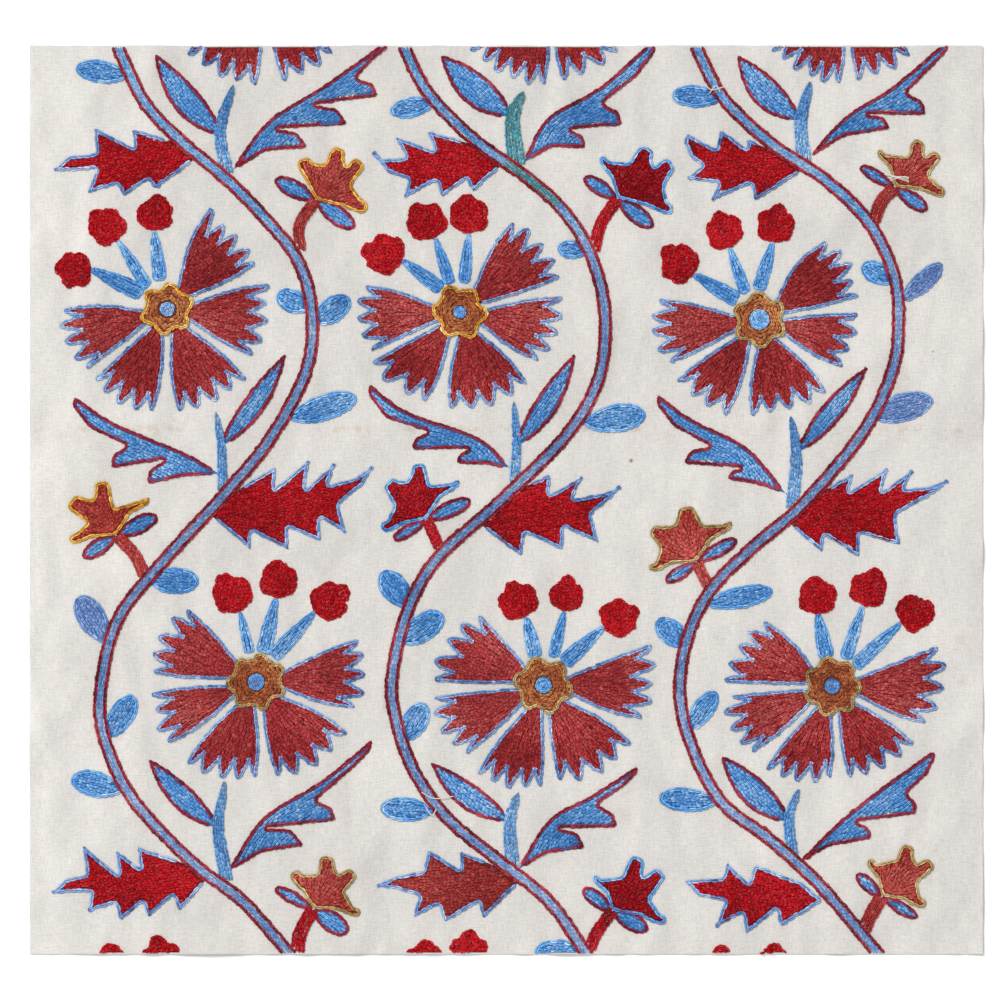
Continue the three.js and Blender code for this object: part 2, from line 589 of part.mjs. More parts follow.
// A barbed leaf: a bowed back from foot to tip, then the underside with its notches and rounded barbs.
function barbedLeaf({ foot, back, tip, under, heel, barbs }) {
  const bow = new THREE.SplineCurve([foot, ...back, tip].map(point)).getPoints(BACK_STEPS);
  const below = barbs.flatMap(({ notch, end }) => [
    point(notch),
    offLine(point(notch), point(end), BARB_SHOULDER, BARB_BULGE, point(tip)),
    point(end),
  ]);
  const last = below.at(-1);
  return [...bow, point(under), ...below, offLine(last, point(foot), 0.5, heel, point(back[0]))];
}

// A leaf with teeth on both sides.
function serratedLeaf({ roots, tip, upper, lower }) {
  return [roots[0], ...upper, tip, ...lower.toReversed(), roots[1]].map(point);
}

// A side flower: blunt lobes that fan out from its neck; a narrow outer lobe has a hollow outer side.
function sideFlower({ neck, lobes, valleys }) {
  const base = point(neck);
  const outline = [base];
  lobes.forEach(([x, y, half], i) => {
    const out = point([x, y]).sub(base);
    const across = new THREE.Vector2(out.y, -out.x).normalize();
    const at = (reach, aside) => base.clone().addScaledVector(out, reach).addScaledVector(across, aside);
    const shoulder = 1 - LOBE_SHOULDER / out.length();
    const wide = half + LOBE_SPREAD;
    const hollow = HOLLOW * Math.max(0, HOLLOW_BELOW - half);
    const outer = wide / 2 - hollow;
    if (i === 0) outline.push(at(0.5, -outer));
    outline.push(at(shoulder, -wide), at(1, -half), at(1, half), at(shoulder, wide));
    if (i === lobes.length - 1) outline.push(at(0.5, outer));
    else outline.push(point(valleys[i]));
  });
  return outline;
}

// A soft crease: a low swell along a line, highest at its middle, whose edges sink into the sheet.
function crease({ from, to, spread, rise }) {
  const { across, along } = CREASE_STEPS;
  const start = point(from);
  const run = point(to).sub(start);
  const aside = new THREE.Vector2(-run.y, run.x).normalize();
  const swell = new THREE.BoxGeometry(2, 1, 1, across, along, 1);
  const place = swell.attributes.position;
  for (let i = 0; i < place.count; i++) {
    const off = place.getX(i) * CREASE_REACH;
    const t = place.getY(i) + 0.5;
    const lift = (rise + CREASE_SUNK) * Math.exp(-(off ** 2)) * Math.sin(Math.PI * t);
    const spot = start.clone().addScaledVector(run, t).addScaledVector(aside, -off * spread);
    const top = CLOTH_THICKNESS - CREASE_SUNK + lift;
    place.setXYZ(i, spot.x, spot.y, place.getZ(i) > 0 ? top : CLOTH_THICKNESS / 2);
  }
  return solid(swell);
}

// The cotton: a flat sheet cut straight on four sides, with its creases.
function cloth() {
  const sheet = solid(
    new THREE.BoxGeometry(CLOTH_WIDTH, CLOTH_HEIGHT, CLOTH_THICKNESS).translate(0, 0, CLOTH_THICKNESS / 2),
  );
  return join([sheet, ...CREASES.map(crease)]).intersect(blockOf(CLOTH_WIDTH, CLOTH_HEIGHT));
}

// A tall block round the middle, which cuts straight sides.
function blockOf(width, height) {
  return solid(new THREE.BoxGeometry(width, height, BLOCK_DEPTH));
}

// Joins solids into one.
const join = (solids) => solids.reduce((whole, next) => whole.add(next));

// The block of space over the cloth, which trims what its cut edges cut.
const overCloth = blockOf(CLOTH_WIDTH - 2 * EDGE_SETBACK, CLOTH_HEIGHT - 2 * EDGE_SETBACK);

const vineBand = (line, extra = 0) => patch(band(line, () => VINE_WIDTH, VINE_STEPS, extra));
const vinesWithGap = join(VINES.map(({ line }) => vineBand(line, 2 * REST_GAP)));

// A vine with the stems and blue leaves that grow from it.
function vine(index) {
  const own = (table) => table.filter((row) => row.vine === index);
  return join([
    vineBand(VINES[index].line),
    ...own(STEMS).map(({ foot, middle, end, width }) =>
      patch(band([foot, middle, end], (t) => width * (1 - STEM_TAPER * t * t), STEM_STEPS)),
    ),
    ...own(OVALS).map(({ foot, end, width }) =>
      patch(leaf(foot, end, width + EGG_EXTRA, eggHalf, OVAL_STEPS)),
    ),
    ...own(LENSES).map(({ foot, end, width, bow }) =>
      patch(leaf(foot, end, width + LENS_EXTRA, lensHalf, LENS_STEPS, bow)),
    ),
    ...own(BARBED).map((row) => patch(barbedLeaf(row))),
  ]).intersect(overCloth);
}

// A carnation head: five petals and three stamens with buds, on the bed of its rosette.
function head({ middle, petals, stamens }) {
  const centre = point(middle);
  const sides = swells(petals);
  const bed = patch(lobed(middle, ROSETTE_BED_RADIUS, 0, 0, BED_POINTS), ROSETTE_BED_HEIGHT);
  const club = ({ root, end, width, bud: tip }) => {
    const rim = onCircle(centre, point(root).sub(centre).angle(), PETAL_ROOT_RADIUS);
    return patch(band([rim.toArray(), end, tip], (t) => width * (1 - CLUB_TAPER * t), CLUB_STEPS));
  };
  return join([
    bed,
    ...petals.map((row, i) => patch(petal(middle, row, sides[i]))),
    ...stamens.map(club),
    ...stamens.map(({ bud: tip, size }) => patch(bud(tip, size))),
  ]);
}

// A rosette: a small lobed disc that lies over the bed.
function rosette({ middle }) {
  const points = ROSETTE_LOBES * POINTS_PER_ROSETTE_LOBE;
  const turn = radians(middle[1]);
  const outline = lobed(middle, ROSETTE_RADIUS, ROSETTE_LOBES, ROSETTE_LOBE_DEPTH, points, turn);
  return patch(outline, STITCH_HEIGHT, STITCH_FLOOR + ROSETTE_BED_HEIGHT + REST_GAP);
}

// A side flower with its stem and its two small leaves.
function flowerOnStem(row) {
  return join([
    patch(sideFlower(row)),
    patch(band([row.neck, row.bend, row.foot], () => row.stem, FLOWER_STEM_STEPS)),
    ...row.leaves.map(({ end, width }) =>
      patch(leaf(row.neck, end, width, eggHalf, SMALL_LEAF_STEPS)),
    ),
  ])
    .subtract(vinesWithGap)
    .intersect(overCloth);
}

const panel = new THREE.Group();

// Adds one solid as a named mesh with its own finish.
function add(name, shape, colour, roughness) {
  const whole = shape.getMesh();
  const geometry = new THREE.BufferGeometry();
  geometry.setAttribute("position", new THREE.BufferAttribute(whole.vertProperties, 3));
  geometry.setIndex(new THREE.BufferAttribute(whole.triVerts, 1));
  geometry.computeVertexNormals();
  const finish = new THREE.MeshStandardMaterial({ color: colour, roughness, metalness: 0 });
  const mesh = new THREE.Mesh(geometry, finish);
  mesh.name = name;
  panel.add(mesh);
}

add("ground_cloth", cloth(), COLOUR.cotton, COTTON);
VINES.forEach(({ name }, i) => add(name, vine(i), COLOUR.blue, SILK));
HEADS.forEach((row, i) => {
  add(`carnation_${i + 1}`, head(row), COLOUR.crimson, SILK);
  add(`rosette_${i + 1}`, rosette(row), COLOUR.brown, SILK);
});
SERRATED.forEach((row, i) =>
  add(`serrated_leaf_${i + 1}`, patch(serratedLeaf(row)).subtract(vinesWithGap), COLOUR.scarlet, SILK),
);
SIDE_FLOWERS.forEach((row, i) => add(`side_flower_${i + 1}`, flowerOnStem(row), COLOUR.madder, SILK));
CUT_PETALS.forEach((row, i) => {
  const whole = patch(petal(row.middle, row, [CUT_SWELL, CUT_SWELL], CUT_PETAL_NOTCH));
  add(`cut_petal_${i + 1}`, whole.intersect(overCloth), COLOUR.crimson, SILK);
});
CUT_BUDS.forEach(({ middle, size }, i) =>
  add(`cut_bud_${i + 1}`, patch(bud(middle, size)).intersect(overCloth), COLOUR.scarlet, SILK),
);

export default panel;
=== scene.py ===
"""Looks of an embroidered cotton panel: its woven cloth and every chain stitch of its silk."""

import math

import bpy
import numpy as np
from mathutils.geometry import delaunay_2d_cdt
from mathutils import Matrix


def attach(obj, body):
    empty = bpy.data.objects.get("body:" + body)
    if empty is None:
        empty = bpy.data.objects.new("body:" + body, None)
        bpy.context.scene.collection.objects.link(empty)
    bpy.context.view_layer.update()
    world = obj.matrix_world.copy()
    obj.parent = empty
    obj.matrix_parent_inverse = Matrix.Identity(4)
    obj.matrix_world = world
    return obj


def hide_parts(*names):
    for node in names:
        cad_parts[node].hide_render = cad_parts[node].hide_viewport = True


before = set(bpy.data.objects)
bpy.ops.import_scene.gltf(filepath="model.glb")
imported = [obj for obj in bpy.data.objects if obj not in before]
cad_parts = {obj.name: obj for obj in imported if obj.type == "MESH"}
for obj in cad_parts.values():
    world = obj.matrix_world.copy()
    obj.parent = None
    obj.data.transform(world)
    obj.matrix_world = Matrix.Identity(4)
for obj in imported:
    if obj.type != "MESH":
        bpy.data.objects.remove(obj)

bl_info = {
    "name": "Embroidered panel",
    "version": (1, 0, 0),
    "blender": (4, 5, 0),
    "location": "View3D > Sidebar > Panel",
    "description": "Makes the cloth and the chain stitches of an embroidered cotton panel",
    "category": "Object",
}

# The tables are in millimetres, X to the right and Y up the panel, as in the part's source.
MM = 0.001


def table(fields, *rows):
    """Rows of values as dictionaries that share their fields."""
    return [dict(zip(fields.split(), row)) for row in rows]


# The main creases of the cloth: a low swell from one place to another.
CREASES = table(
    "from to spread rise",
    ((-220, 25), (-217, -60), 3.2, 1.3),
    ((-216, -55), (-207, -100), 2.8, 0.9),
    ((-222, -85), (-210, -150), 3.6, 1.2),
    ((-221, 150), (-219, 70), 2.6, 0.5),
    ((-222, -160), (-219, -212), 2.8, 0.6),
    ((212, 142), (224, 146), 3.5, 0.8),
    ((206, 36), (224, 30), 4.5, 0.9),
    ((214, 5), (217, -60), 3.4, 0.7),
    ((216, -120), (213, -200), 3.4, 0.7),
    ((214, 110), (217, 60), 3.2, 0.5),
)

# The middle line of each vine, from the top edge to the bottom edge.
VINES = table(
    "name line",
    (
        "vine_left",
        (
            (-184.5, 216), (-170.6, 187.5), (-153.4, 169.3), (-132.5, 151.6), (-114.5, 133.6),
            (-98.4, 112.8), (-91.8, 88.8), (-94.6, 60.6), (-111.7, 28.5), (-134.4, 1), (-162.5, -29.6),
            (-183, -56), (-191, -86), (-190.2, -111), (-176.5, -141), (-148.5, -171), (-124, -190),
            (-101, -216),
        ),
    ),
    (
        "vine_middle",
        (
            (-49.5, 216), (-36.8, 192), (-14.5, 169.6), (14.5, 148.4), (32, 130), (43, 107), (46.8, 82),
            (43.2, 56), (28.8, 31), (-2, 0), (-31, -26), (-44.8, -48), (-52.4, -74), (-53.6, -96),
            (-45, -125), (-28, -150), (-4, -170), (20.5, -190), (39, -216),
        ),
    ),
    (
        "vine_right",
        (
            (88.7, 216), (101.5, 191), (124, 169), (150, 151.5), (171, 131), (183, 106), (185.2, 82),
            (182, 60), (168.5, 32), (140, -2), (117, -22), (97, -42), (86, -64), (82, -88), (86, -112),
            (101, -142), (124, -160), (148, -182), (177, -216),
        ),
    ),
)

# What grows from each vine.
STEMS = table(
    "vine foot middle end width",
    (0, (-132, 154), (-135, 175), (-129, 195.5), 5.5),
    (0, (-134, 4), (-134.5, 25), (-137, 41), 4.4),
    (0, (-132, -180), (-136, -155), (-133, -133.5), 5.6),
    (1, (5, 158), (3, 180), (8, 192.5), 7.6),
    (1, (4, 8), (4.8, 28), (3.5, 46), 4.4),
    (1, (3, -174), (1.6, -153), (5.5, -138.5), 6),
    (2, (141, 158), (139, 178), (143.5, 197), 6.2),
    (2, (135, -4), (137, 20), (134.5, 39), 5.6),
    (2, (136, -173), (133.5, -151), (138, -137), 5.2),
)

OVALS = table(
    "vine foot end width",
    (0, (-178, 200), (-203.5, 204), 10),
    (0, (-92, 90), (-108.5, 97), 10),
    (0, (-91, 83), (-74, 95.5), 11),
    (0, (-103, 38), (-70.5, 48.5), 11.5),
    (0, (-170, -38), (-145, -38.5), 11.5),
    (0, (-188, -68), (-202, -45.5), 12.5),
    (0, (-189, -113), (-175.5, -92.5), 11),
    (0, (-181, -137.5), (-205.5, -131.5), 11.5),
    (1, (-33, 188), (-55, 183), 8.6),
    (1, (40, 118), (24, 118.5), 8),
    (1, (36, 36), (66, 40.5), 12.5),
    (1, (-45, -51), (-59, -34), 12),
    (1, (-51, -68), (-29.5, -54), 12),
    (1, (-49.5, -115), (-38, -96), 11),
    (1, (-34, -147), (-59.5, -145.5), 10.5),
    (1, (38, -214.5), (13.5, -213.5), 11.5),
    (2, (103, 190), (78, 191), 9.5),
    (2, (184, 103), (167.5, 110.5), 9.5),
    (2, (186.5, 93.5), (206, 111.5), 8.6),
    (2, (170.5, 39), (201.5, 47.5), 12.5),
    (2, (93.5, -49.5), (126, -43), 9.5),
    (2, (86, -69.5), (71, -57), 11),
    (2, (85, -109.5), (99.5, -90.5), 9.5),
    (2, (100, -143), (72, -140.5), 10.5),
)

LENSES = table(
    "vine foot end width bow",
    (0, (-134, 171.5), (-166, 210.5), 12.5, 2.3),
    (0, (-135, 25), (-104, 69), 9.5, -1.6),
    (0, (-136, -155), (-169, -122.5), 10.5, 1.6),
    (1, (2.5, 181), (-31, 210), 14, 1.6),
    (1, (4.6, 25), (32.5, 69), 10, -1.6),
    (1, (1.8, -152), (-36, -124), 11, 2),
    (2, (138.6, 179), (109, 210), 13, 2.4),
    (2, (137, 22), (170.5, 63), 9.5, -0.6),
    (2, (133.5, -152), (101.5, -121), 12.5, 1.6),
)

# Barbed leaves: the bowed back, the underside near the tip, and each barb's notch and end.
BARBED = table(
    "vine foot back tip under heel barbs",
    (
        0, (-131, 154), ((-113, 178.5), (-86, 196)), (-55, 218), (-63.5, 207), 0.12,
        (((-71, 199), (-60, 190.5)), ((-91, 186.5), (-74.5, 177)), ((-109, 175), (-93.5, 166))),
    ),
    (
        0, (-134, 12), ((-152, 22.5), (-185, 36.5)), (-204.5, 49.5), (-197, 34), 0.04,
        (((-179, 25.5), (-187, 14.5)), ((-161, 19), (-170, 7))),
    ),
    (
        0, (-133, -177), ((-115, -150), (-88, -133)), (-63, -112.5), (-73, -127.5), 0.1,
        (((-90, -142), (-80, -151.5)), ((-114, -155), (-95, -163.5))),
    ),
    (
        1, (7, 158), ((19, 180), (44, 195)), (70, 218), (62, 200), 0.14,
        (((45.5, 187), (55, 176.5)), ((30, 175), (38, 166))),
    ),
    (
        1, (3, 14.5), ((-13, 29.5), (-47, 42)), (-65, 55.5), (-57, 38.5), 0.03,
        (((-36.5, 32), (-45, 23.5)), ((-17, 24), (-24, 17))),
    ),
    (
        1, (4, -176), ((20, -151), (41, -139)), (62.5, -125), (55.5, -135.5), 0.1,
        (((43, -144), (52.5, -155)), ((24.5, -155), (37.5, -164.5))),
    ),
    (
        2, (141, 160), ((160, 181), (182, 195)), (209, 218), (200, 203), 0.1,
        (((189, 192), (198.5, 181.5)), ((170, 182), (182, 175))),
    ),
    (
        2, (133.5, 2), ((114, 24.5), (88, 38)), (71, 50.5), (79, 34.5), 0.05,
        (((96.5, 25), (83, 17)), ((111.5, 15), (104, 9.5))),
    ),
    (
        2, (135, -174), ((158, -151), (181, -133)), (202, -118), (198.5, -130), 0.09,
        (((189, -139), (194, -148.5)), ((165, -152), (173, -160))),
    ),
)

# Carnation heads, with the fields of a petal (angles in degrees) and of a stamen.
PETAL_FIELDS = "first last tips"
STAMEN_FIELDS = "root end width bud size"
HEADS = table(
    "middle open petals stamens",
    (
        (-160, 90), (4.5, 6),
        (
            (27, 67, (47.3, 48.5, 48.4, 48.5, 52.4)), (-29, 14, (46.1, 47.6, 48.3, 47.1, 50.1)),
            (-84, -41, (49, 49.2, 49.4, 49, 50.2)), (-136, -98, (48.3, 49.9, 50.9, 50.4, 49.2)),
            (-180, -143, (49.5, 51.9, 51.4, 50.2, 48)),
        ),
        (
            ((-172, 97.5), (-195, 109), 6.4, (-203.5, 108.5), 9),
            ((-171.5, 103), (-183, 122), 4.8, (-188.5, 129), 9.4),
            ((-163.5, 103), (-166.5, 125), 5.4, (-166, 134.5), 8.8),
        ),
    ),
    (
        (-22, 88.5), (3.8, 4.5),
        (
            (19, 60, (50.6, 51.7, 51.2, 51.7, 49.9)), (-32, 9, (44, 46.8, 47.9, 48.6, 49.6)),
            (-96, -46, (46.1, 46.2, 47, 46.6, 46.2)), (-151, -111, (47.8, 48.9, 46.5, 45.4)),
            (-196, -156, (46.7, 49.3, 48.9, 48.1, 45.8)),
        ),
        (
            ((-31, 100), (-47, 112.5), 5.6, (-57, 116), 10),
            ((-26.5, 102), (-33, 123), 4.8, (-37.5, 131), 9.8),
            ((-20, 102), (-17.5, 124.5), 4.6, (-17.5, 134), 9.6),
        ),
    ),
    (
        (119.5, 85), (2.5, 8),
        (
            (13, 50, (48.8, 48.4, 51.6, 51.1, 49)), (-30, 4, (45.5, 45.3, 47.1, 47.1)),
            (-95, -47, (46, 44.6, 44.9, 46.3, 46.7)), (-144, -109, (48.9, 48.3, 48.2, 48.5)),
            (-192, -154, (48.9, 51.5, 51.4, 50.7, 47.3)),
        ),
        (
            ((109.5, 94), (89, 106), 6, (82, 111.5), 9.8),
            ((112.5, 98.5), (105.5, 118.5), 4.6, (103, 126.5), 9.2),
            ((119, 98.5), (125.5, 119.5), 5.4, (127, 129.5), 9.2),
        ),
    ),
    (
        (-118, -86), (2.8, 2.2),
        (
            (133, 175, (47.8, 50.3, 51.4, 51.1, 49.2)), (186, 215, (50.4, 49.9, 52.6, 51)),
            (229, 270, (50.9, 50.6, 48.8, 46.9, 45.4)), (282, 331, (46, 47.8, 49.1, 48.5, 49.8)),
            (345, 383, (48.3, 51.4, 51.9, 52.9, 52.7)),
        ),
        (
            ((-121, -73), (-125, -54.5), 4.2, (-129, -45), 9.8),
            ((-115, -73.5), (-109, -49), 5.8, (-107.5, -38.5), 9.4),
            ((-110.5, -74.5), (-92.5, -54.5), 5.8, (-84, -48), 9.6),
        ),
    ),
    (
        (17.5, -87.5), (1.2, 0.8),
        (
            (132, 178, (45.2, 49, 50.5, 53.3, 51.9)), (186, 222, (52.2, 54.1, 53.7, 51.7, 49.1)),
            (233, 269, (52.5, 51.8, 52, 49.5, 48.5)), (279, 327, (46.2, 48.6, 49.9, 49.4, 50.1)),
            (341, 381, (49.5, 52.3, 51.8, 54.4, 55)),
        ),
        (
            ((14, -75), (9.5, -55.5), 5.6, (5.5, -48), 9.6),
            ((22, -74.5), (27, -55.5), 4.6, (28.5, -45.5), 8.4),
            ((27.5, -76.5), (43.5, -61.5), 6, (52.5, -56), 9.2),
        ),
    ),
    (
        (154, -88), (5, 0.3),
        (
            (136, 178, (44.9, 48.3, 48.9, 50.7, 51.5)), (185, 220, (48.3, 53.4, 53, 51.8, 49.6)),
            (231, 269, (50.8, 49.6, 48.7, 47, 43.8)), (280, 325, (44.4, 45.3, 46.2, 46.8, 47.4)),
            (338, 381, (47.4, 50.8, 53, 54.7, 53.6)),
        ),
        (
            ((151.5, -75.5), (147, -54.5), 6, (147, -46), 9.4),
            ((159.5, -76.5), (167.5, -52.5), 5, (171, -42.5), 9.2),
            ((164, -79), (183, -60.5), 5.4, (192.5, -53.5), 9.2),
        ),
    ),
)

# What the cut edges leave of petals and buds.
CUT_PETALS = table(
    "middle first last reach teeth",
    ((-115.4, 245), -136, -93, 49.5, 5),
    ((-115.4, 245), -78, -45, 48.5, 4),
    ((20, 244), -140, -92, 49, 6),
    ((20, 244), -82, -44, 46.5, 4),
    ((161.4, 244), -139, -95, 48.5, 6),
    ((161.4, 244), -85, -49, 46, 4),
)

CUT_BUDS = table(
    "middle size",
    ((-187.5, -220.5), 9.4),
    ((-163, -217), 9),
    ((-39, -218.5), 9.2),
    ((-17.5, -214), 8.8),
    ((101, -221), 8.6),
    ((126.2, -219.5), 8.6),
)

# Serrated leaves: the points of both sides, from root to tip.
SERRATED = table(
    "roots tip upper lower",
    (
        ((-158, 168.5), (-149.5, 160.3)), (-214, 155.5),
        ((-177, 175.2), (-175.5, 166), (-194.8, 176), (-193.7, 163.4), (-206.5, 162.4)),
        (
            (-166.2, 146.4), (-169, 151.3), (-180.6, 142.8), (-183.8, 149), (-198, 144.3),
            (-193.5, 156.2), (-203, 155.2),
        ),
    ),
    (
        ((-17, 168), (-4.5, 158.5)), (-63.5, 165),
        ((-37.5, 174), (-33.5, 164.6), (-52.6, 171.3), (-47.3, 161.6), (-59.3, 160.6)),
        (
            (-15.8, 145), (-18.5, 151.5), (-30.7, 142.5), (-32.8, 150.5), (-48.6, 142.2), (-46, 151.2),
            (-56.5, 154.6),
        ),
    ),
    (
        ((125, 164), (136.5, 155)), (92.8, 157.8),
        (
            (113.6, 170.6), (114, 165.5), (101, 175), (99.2, 165.3), (85.2, 173.5), (84.2, 167.5),
            (87.4, 161.1),
        ),
        ((117, 140.7), (115.5, 149), (96.3, 140.9), (100.3, 149.2), (84.7, 151.5)),
    ),
    (
        ((-127, 4), (-137, -6.5)), (-62.7, 16.3),
        (
            (-108.6, 15.8), (-109.4, 4.8), (-92.9, 19.2), (-95, 5), (-80.6, 17.8), (-84, 6.8),
            (-71, 10.6),
        ),
        (
            (-120.8, -23.5), (-120, -15), (-102.8, -24), (-103, -13.2), (-87.3, -19.8), (-87.8, -8.6),
            (-75.5, -16.2), (-79, -2.4), (-67.2, 7.4),
        ),
    ),
    (
        ((2.5, 3), (-9, -11.5)), (54.6, 7),
        ((20.9, 12.3), (20.4, 2.4), (36.4, 11.3), (31.6, 0.4), (47, 3.4)),
        ((7.4, -27), (8.8, -15.6), (26.8, -24), (27.2, -13), (43.9, -20.8), (40.2, -7), (50, 1)),
    ),
    (
        ((145, 1), (137, -11)), (209.4, 9.5),
        ((164, 12.6), (161.8, 3.8), (180.7, 15.5), (177, 3.8), (192.4, 14.5), (187.6, 4.8), (200, 6.4)),
        (
            (149.3, -25), (150, -16.7), (166.8, -27.2), (166.8, -16), (186.3, -21.7), (183.8, -7.2),
            (203, 3.6),
        ),
    ),
    (
        ((-153, -172.5), (-145, -180.5)), (-215.5, -186),
        (
            (-174.5, -163.6), (-172.5, -174.2), (-184.3, -165.2), (-182.9, -177.2), (-200, -162.9),
            (-198.3, -176.6), (-208, -179.2),
        ),
        (
            (-154.5, -194.6), (-157.2, -186.8), (-168.9, -197.5), (-171.9, -190), (-182.1, -199),
            (-184.6, -190.6), (-198, -195), (-195.8, -185.3), (-206, -185.4),
        ),
    ),
    (
        ((-10, -172), (3, -181)), (-62, -182.5),
        ((-22, -165.7), (-21.6, -174.8), (-37.1, -164.9), (-38.9, -175.3), (-51.5, -177.4)),
        (
            (-10.8, -198.2), (-13.4, -190), (-29.3, -199.8), (-32, -191.3), (-44, -197.2),
            (-41.3, -187.2), (-52, -184),
        ),
    ),
    (
        ((136, -180), (146, -189)), (84, -179.6),
        ((117, -172), (114.5, -181), (104.1, -170.9), (102.4, -178.7), (93.4, -179.2)),
        (
            (129.4, -202), (127.8, -193.5), (112.9, -205.4), (111.7, -195.4), (98.3, -202.1),
            (103.6, -189.8), (90.5, -187.2),
        ),
    ),
)

# Side flowers: each lobe's place and half width, the valleys between them, the stem and two leaves.
SIDE_FLOWERS = table(
    "neck lobes valleys bend foot stem leaves",
    (
        (-90, 141.5),
        ((-95.8, 161.3, 3.1), (-78.5, 166.2, 2.8), (-68.3, 159.6, 2.8), (-65.5, 138.2, 2.6)),
        ((-86, 158.6), (-75.4, 157.4), (-72.8, 148.5)), (-97.5, 130), (-97.5, 118), 5,
        (((-109.5, 151.5), 9), ((-71.5, 128.5), 9.5)),
    ),
    (
        (52.3, 142), ((45, 162.3, 1.4), (67, 166.2, 3.2), (78.3, 158.8, 3.2), (78.8, 137, 2.2)),
        ((57.9, 159.2), (70, 157), (75, 148.2)), (44.5, 130), (41.5, 118), 5.4,
        (((36.5, 152.5), 8), ((69.5, 128.5), 9)),
    ),
    (
        (183.5, 147.5),
        ((175.8, 165.6, 1.2), (195.8, 169.8, 2.6), (204.2, 163.2, 2.4), (207.5, 145.2, 2)),
        ((189.6, 162.4), (198.2, 162), (199.7, 153.6)), (177, 140.5), (173.5, 131.5), 5.8,
        (((166.5, 157.5), 6.5), ((199, 136.5), 8)),
    ),
    (
        (-184, -17), ((-206.5, -18.6, 1.8), (-205.6, -0.2, 3.4), (-191.5, 8.8, 3), (-168.3, 1.4, 0.8)),
        ((-198, -10.8), (-195, 0.2), (-184.9, -3.8)), (-175.5, -26), (-171, -35), 5.4,
        (((-164.5, -7.5), 9), ((-200, -27), 8.5)),
    ),
    (
        (-37.5, -9.5), ((-59.3, -13, 2), (-56.2, 8.4, 3.2), (-41.8, 17, 2.8), (-22, 9.6, 0.8)),
        ((-53.2, -2.7), (-46.7, 9.1), (-36.1, 6.9)), (-34, -17), (-31, -24), 5,
        (((-16.5, 0), 8.5), ((-53.5, -19), 6.5)),
    ),
    (
        (89.8, -29.5), ((67.2, -32.3, 1.4), (68.6, -13.7, 2.8), (84.6, -3.3, 3.6), (106.8, -10.2, 0.9)),
        ((72.5, -22.5), (79.5, -11.6), (93.2, -11.8)), (93.5, -37), (97, -43), 5,
        (((109, -18.5), 7.5), ((75, -39), 7)),
    ),
    (
        (-91.2, -193.3),
        ((-100.3, -175.4, 2.4), (-83.8, -168.2, 3), (-72, -175.6, 2.6), (-68.6, -195, 1.6)),
        ((-89.4, -176.8), (-79.3, -176.8), (-76.2, -185.2)), (-97, -204), (-98.5, -213), 6,
        (((-109.5, -183), 6.5), ((-74.5, -204.5), 10.5)),
    ),
    (
        (50, -194.2), ((41.5, -177, 1.2), (62.8, -168.8, 3), (73.8, -176, 3), (75.6, -198.8, 1.8)),
        ((54.3, -178), (64.8, -178), (67.9, -188.5)), (43, -204), (39.5, -211.5), 5.4,
        (((36, -183.5), 8), ((67, -203.5), 9)),
    ),
    (
        (177, -187.3),
        ((171.6, -169.5, 1.5), (190.5, -163.2, 2.8), (201, -171.2, 2.6), (198.5, -191, 1.8)),
        ((184.2, -169.4), (193.9, -172), (194.3, -181.2)), (172, -196.5), (169, -203.5), 6,
        (((165, -176.5), 7), ((194.5, -197.5), 6.5)),
    ),
)

# Shapes shared with the part's source.
LEAF_SHOULDER = 0.8
EGG_WIDEST = 0.56
EGG_FOOT = 0.62
LENS_FULLNESS = 0.9
PETAL_ROOT = 12.9
BARB_SHOULDER = 0.55
BARB_BULGE = 0.22
BARBED_BLUNT = 0.15
ROSETTE_RADIUS = 11

# The teeth of a petal: the depth between two, and a tooth's shoulders, their drop and its blunt tip.
PETAL_NOTCH = 0.86
TOOTH_SHOULDER = 0.29
TOOTH_DROP = 2.8
TOOTH_TIP = 0.07

# The rows of a vine, as offsets from its middle line, and where its thread changes dye.
VINE_EDGES = (-2.4, 2.4)
VINE_CORE = (-1.05, 0.0, 1.05)
BRIGHT_ABOVE = 125
TEAL_VINE = 1
TEAL_PLACE = (12, 150)
TEAL_REACH = 16

# Spacing of rows in a fill that fans out, that runs lengthwise and that goes round in rings.
FAN_PITCH = 1.45
FILL_PITCH = 1.3
RING_PITCH = 1.4

# The most of a side that a rounded corner takes up, and how far a sharp corner reaches in an inset.
ROUNDED_SHARE = 0.45
CORNER_REACH = 1.5

# Spacing of the points of a line, and how far stitches and beds stay from the cut edges.
LINE_STEP = 0.4
EDGE_ROOM = 0.7
BED_ROOM = 0.8
BED_STEP = 3.5
BED_GAP = 0.6
# How much a bed darkens its dye's dark shade: painted shade for the gaps between stitches.
BED_PAINTED_SHADE = 0.55

# The first seed of each kind of piece; its number is added.
SEEDS = {
    "vine": 100,
    "carnation": 200,
    "rosette": 300,
    "serrated": 400,
    "side": 500,
    "cut_petal": 600,
    "cut_bud": 700,
}

# The camera's place over the cloth, the width it sees at the cloth, and its sensor.
CAMERA_MIDDLE = (-2.95, -0.12)
FRAME_SPAN = 472.4
SENSOR_WIDTH = 36

# The cloth: how far its cut edges wander, where they lie on a sheet of size 1, its share of thickness.
EDGE_PULL = 0.05
RIM = 0.4999
UNDER_SHARE = 0.8

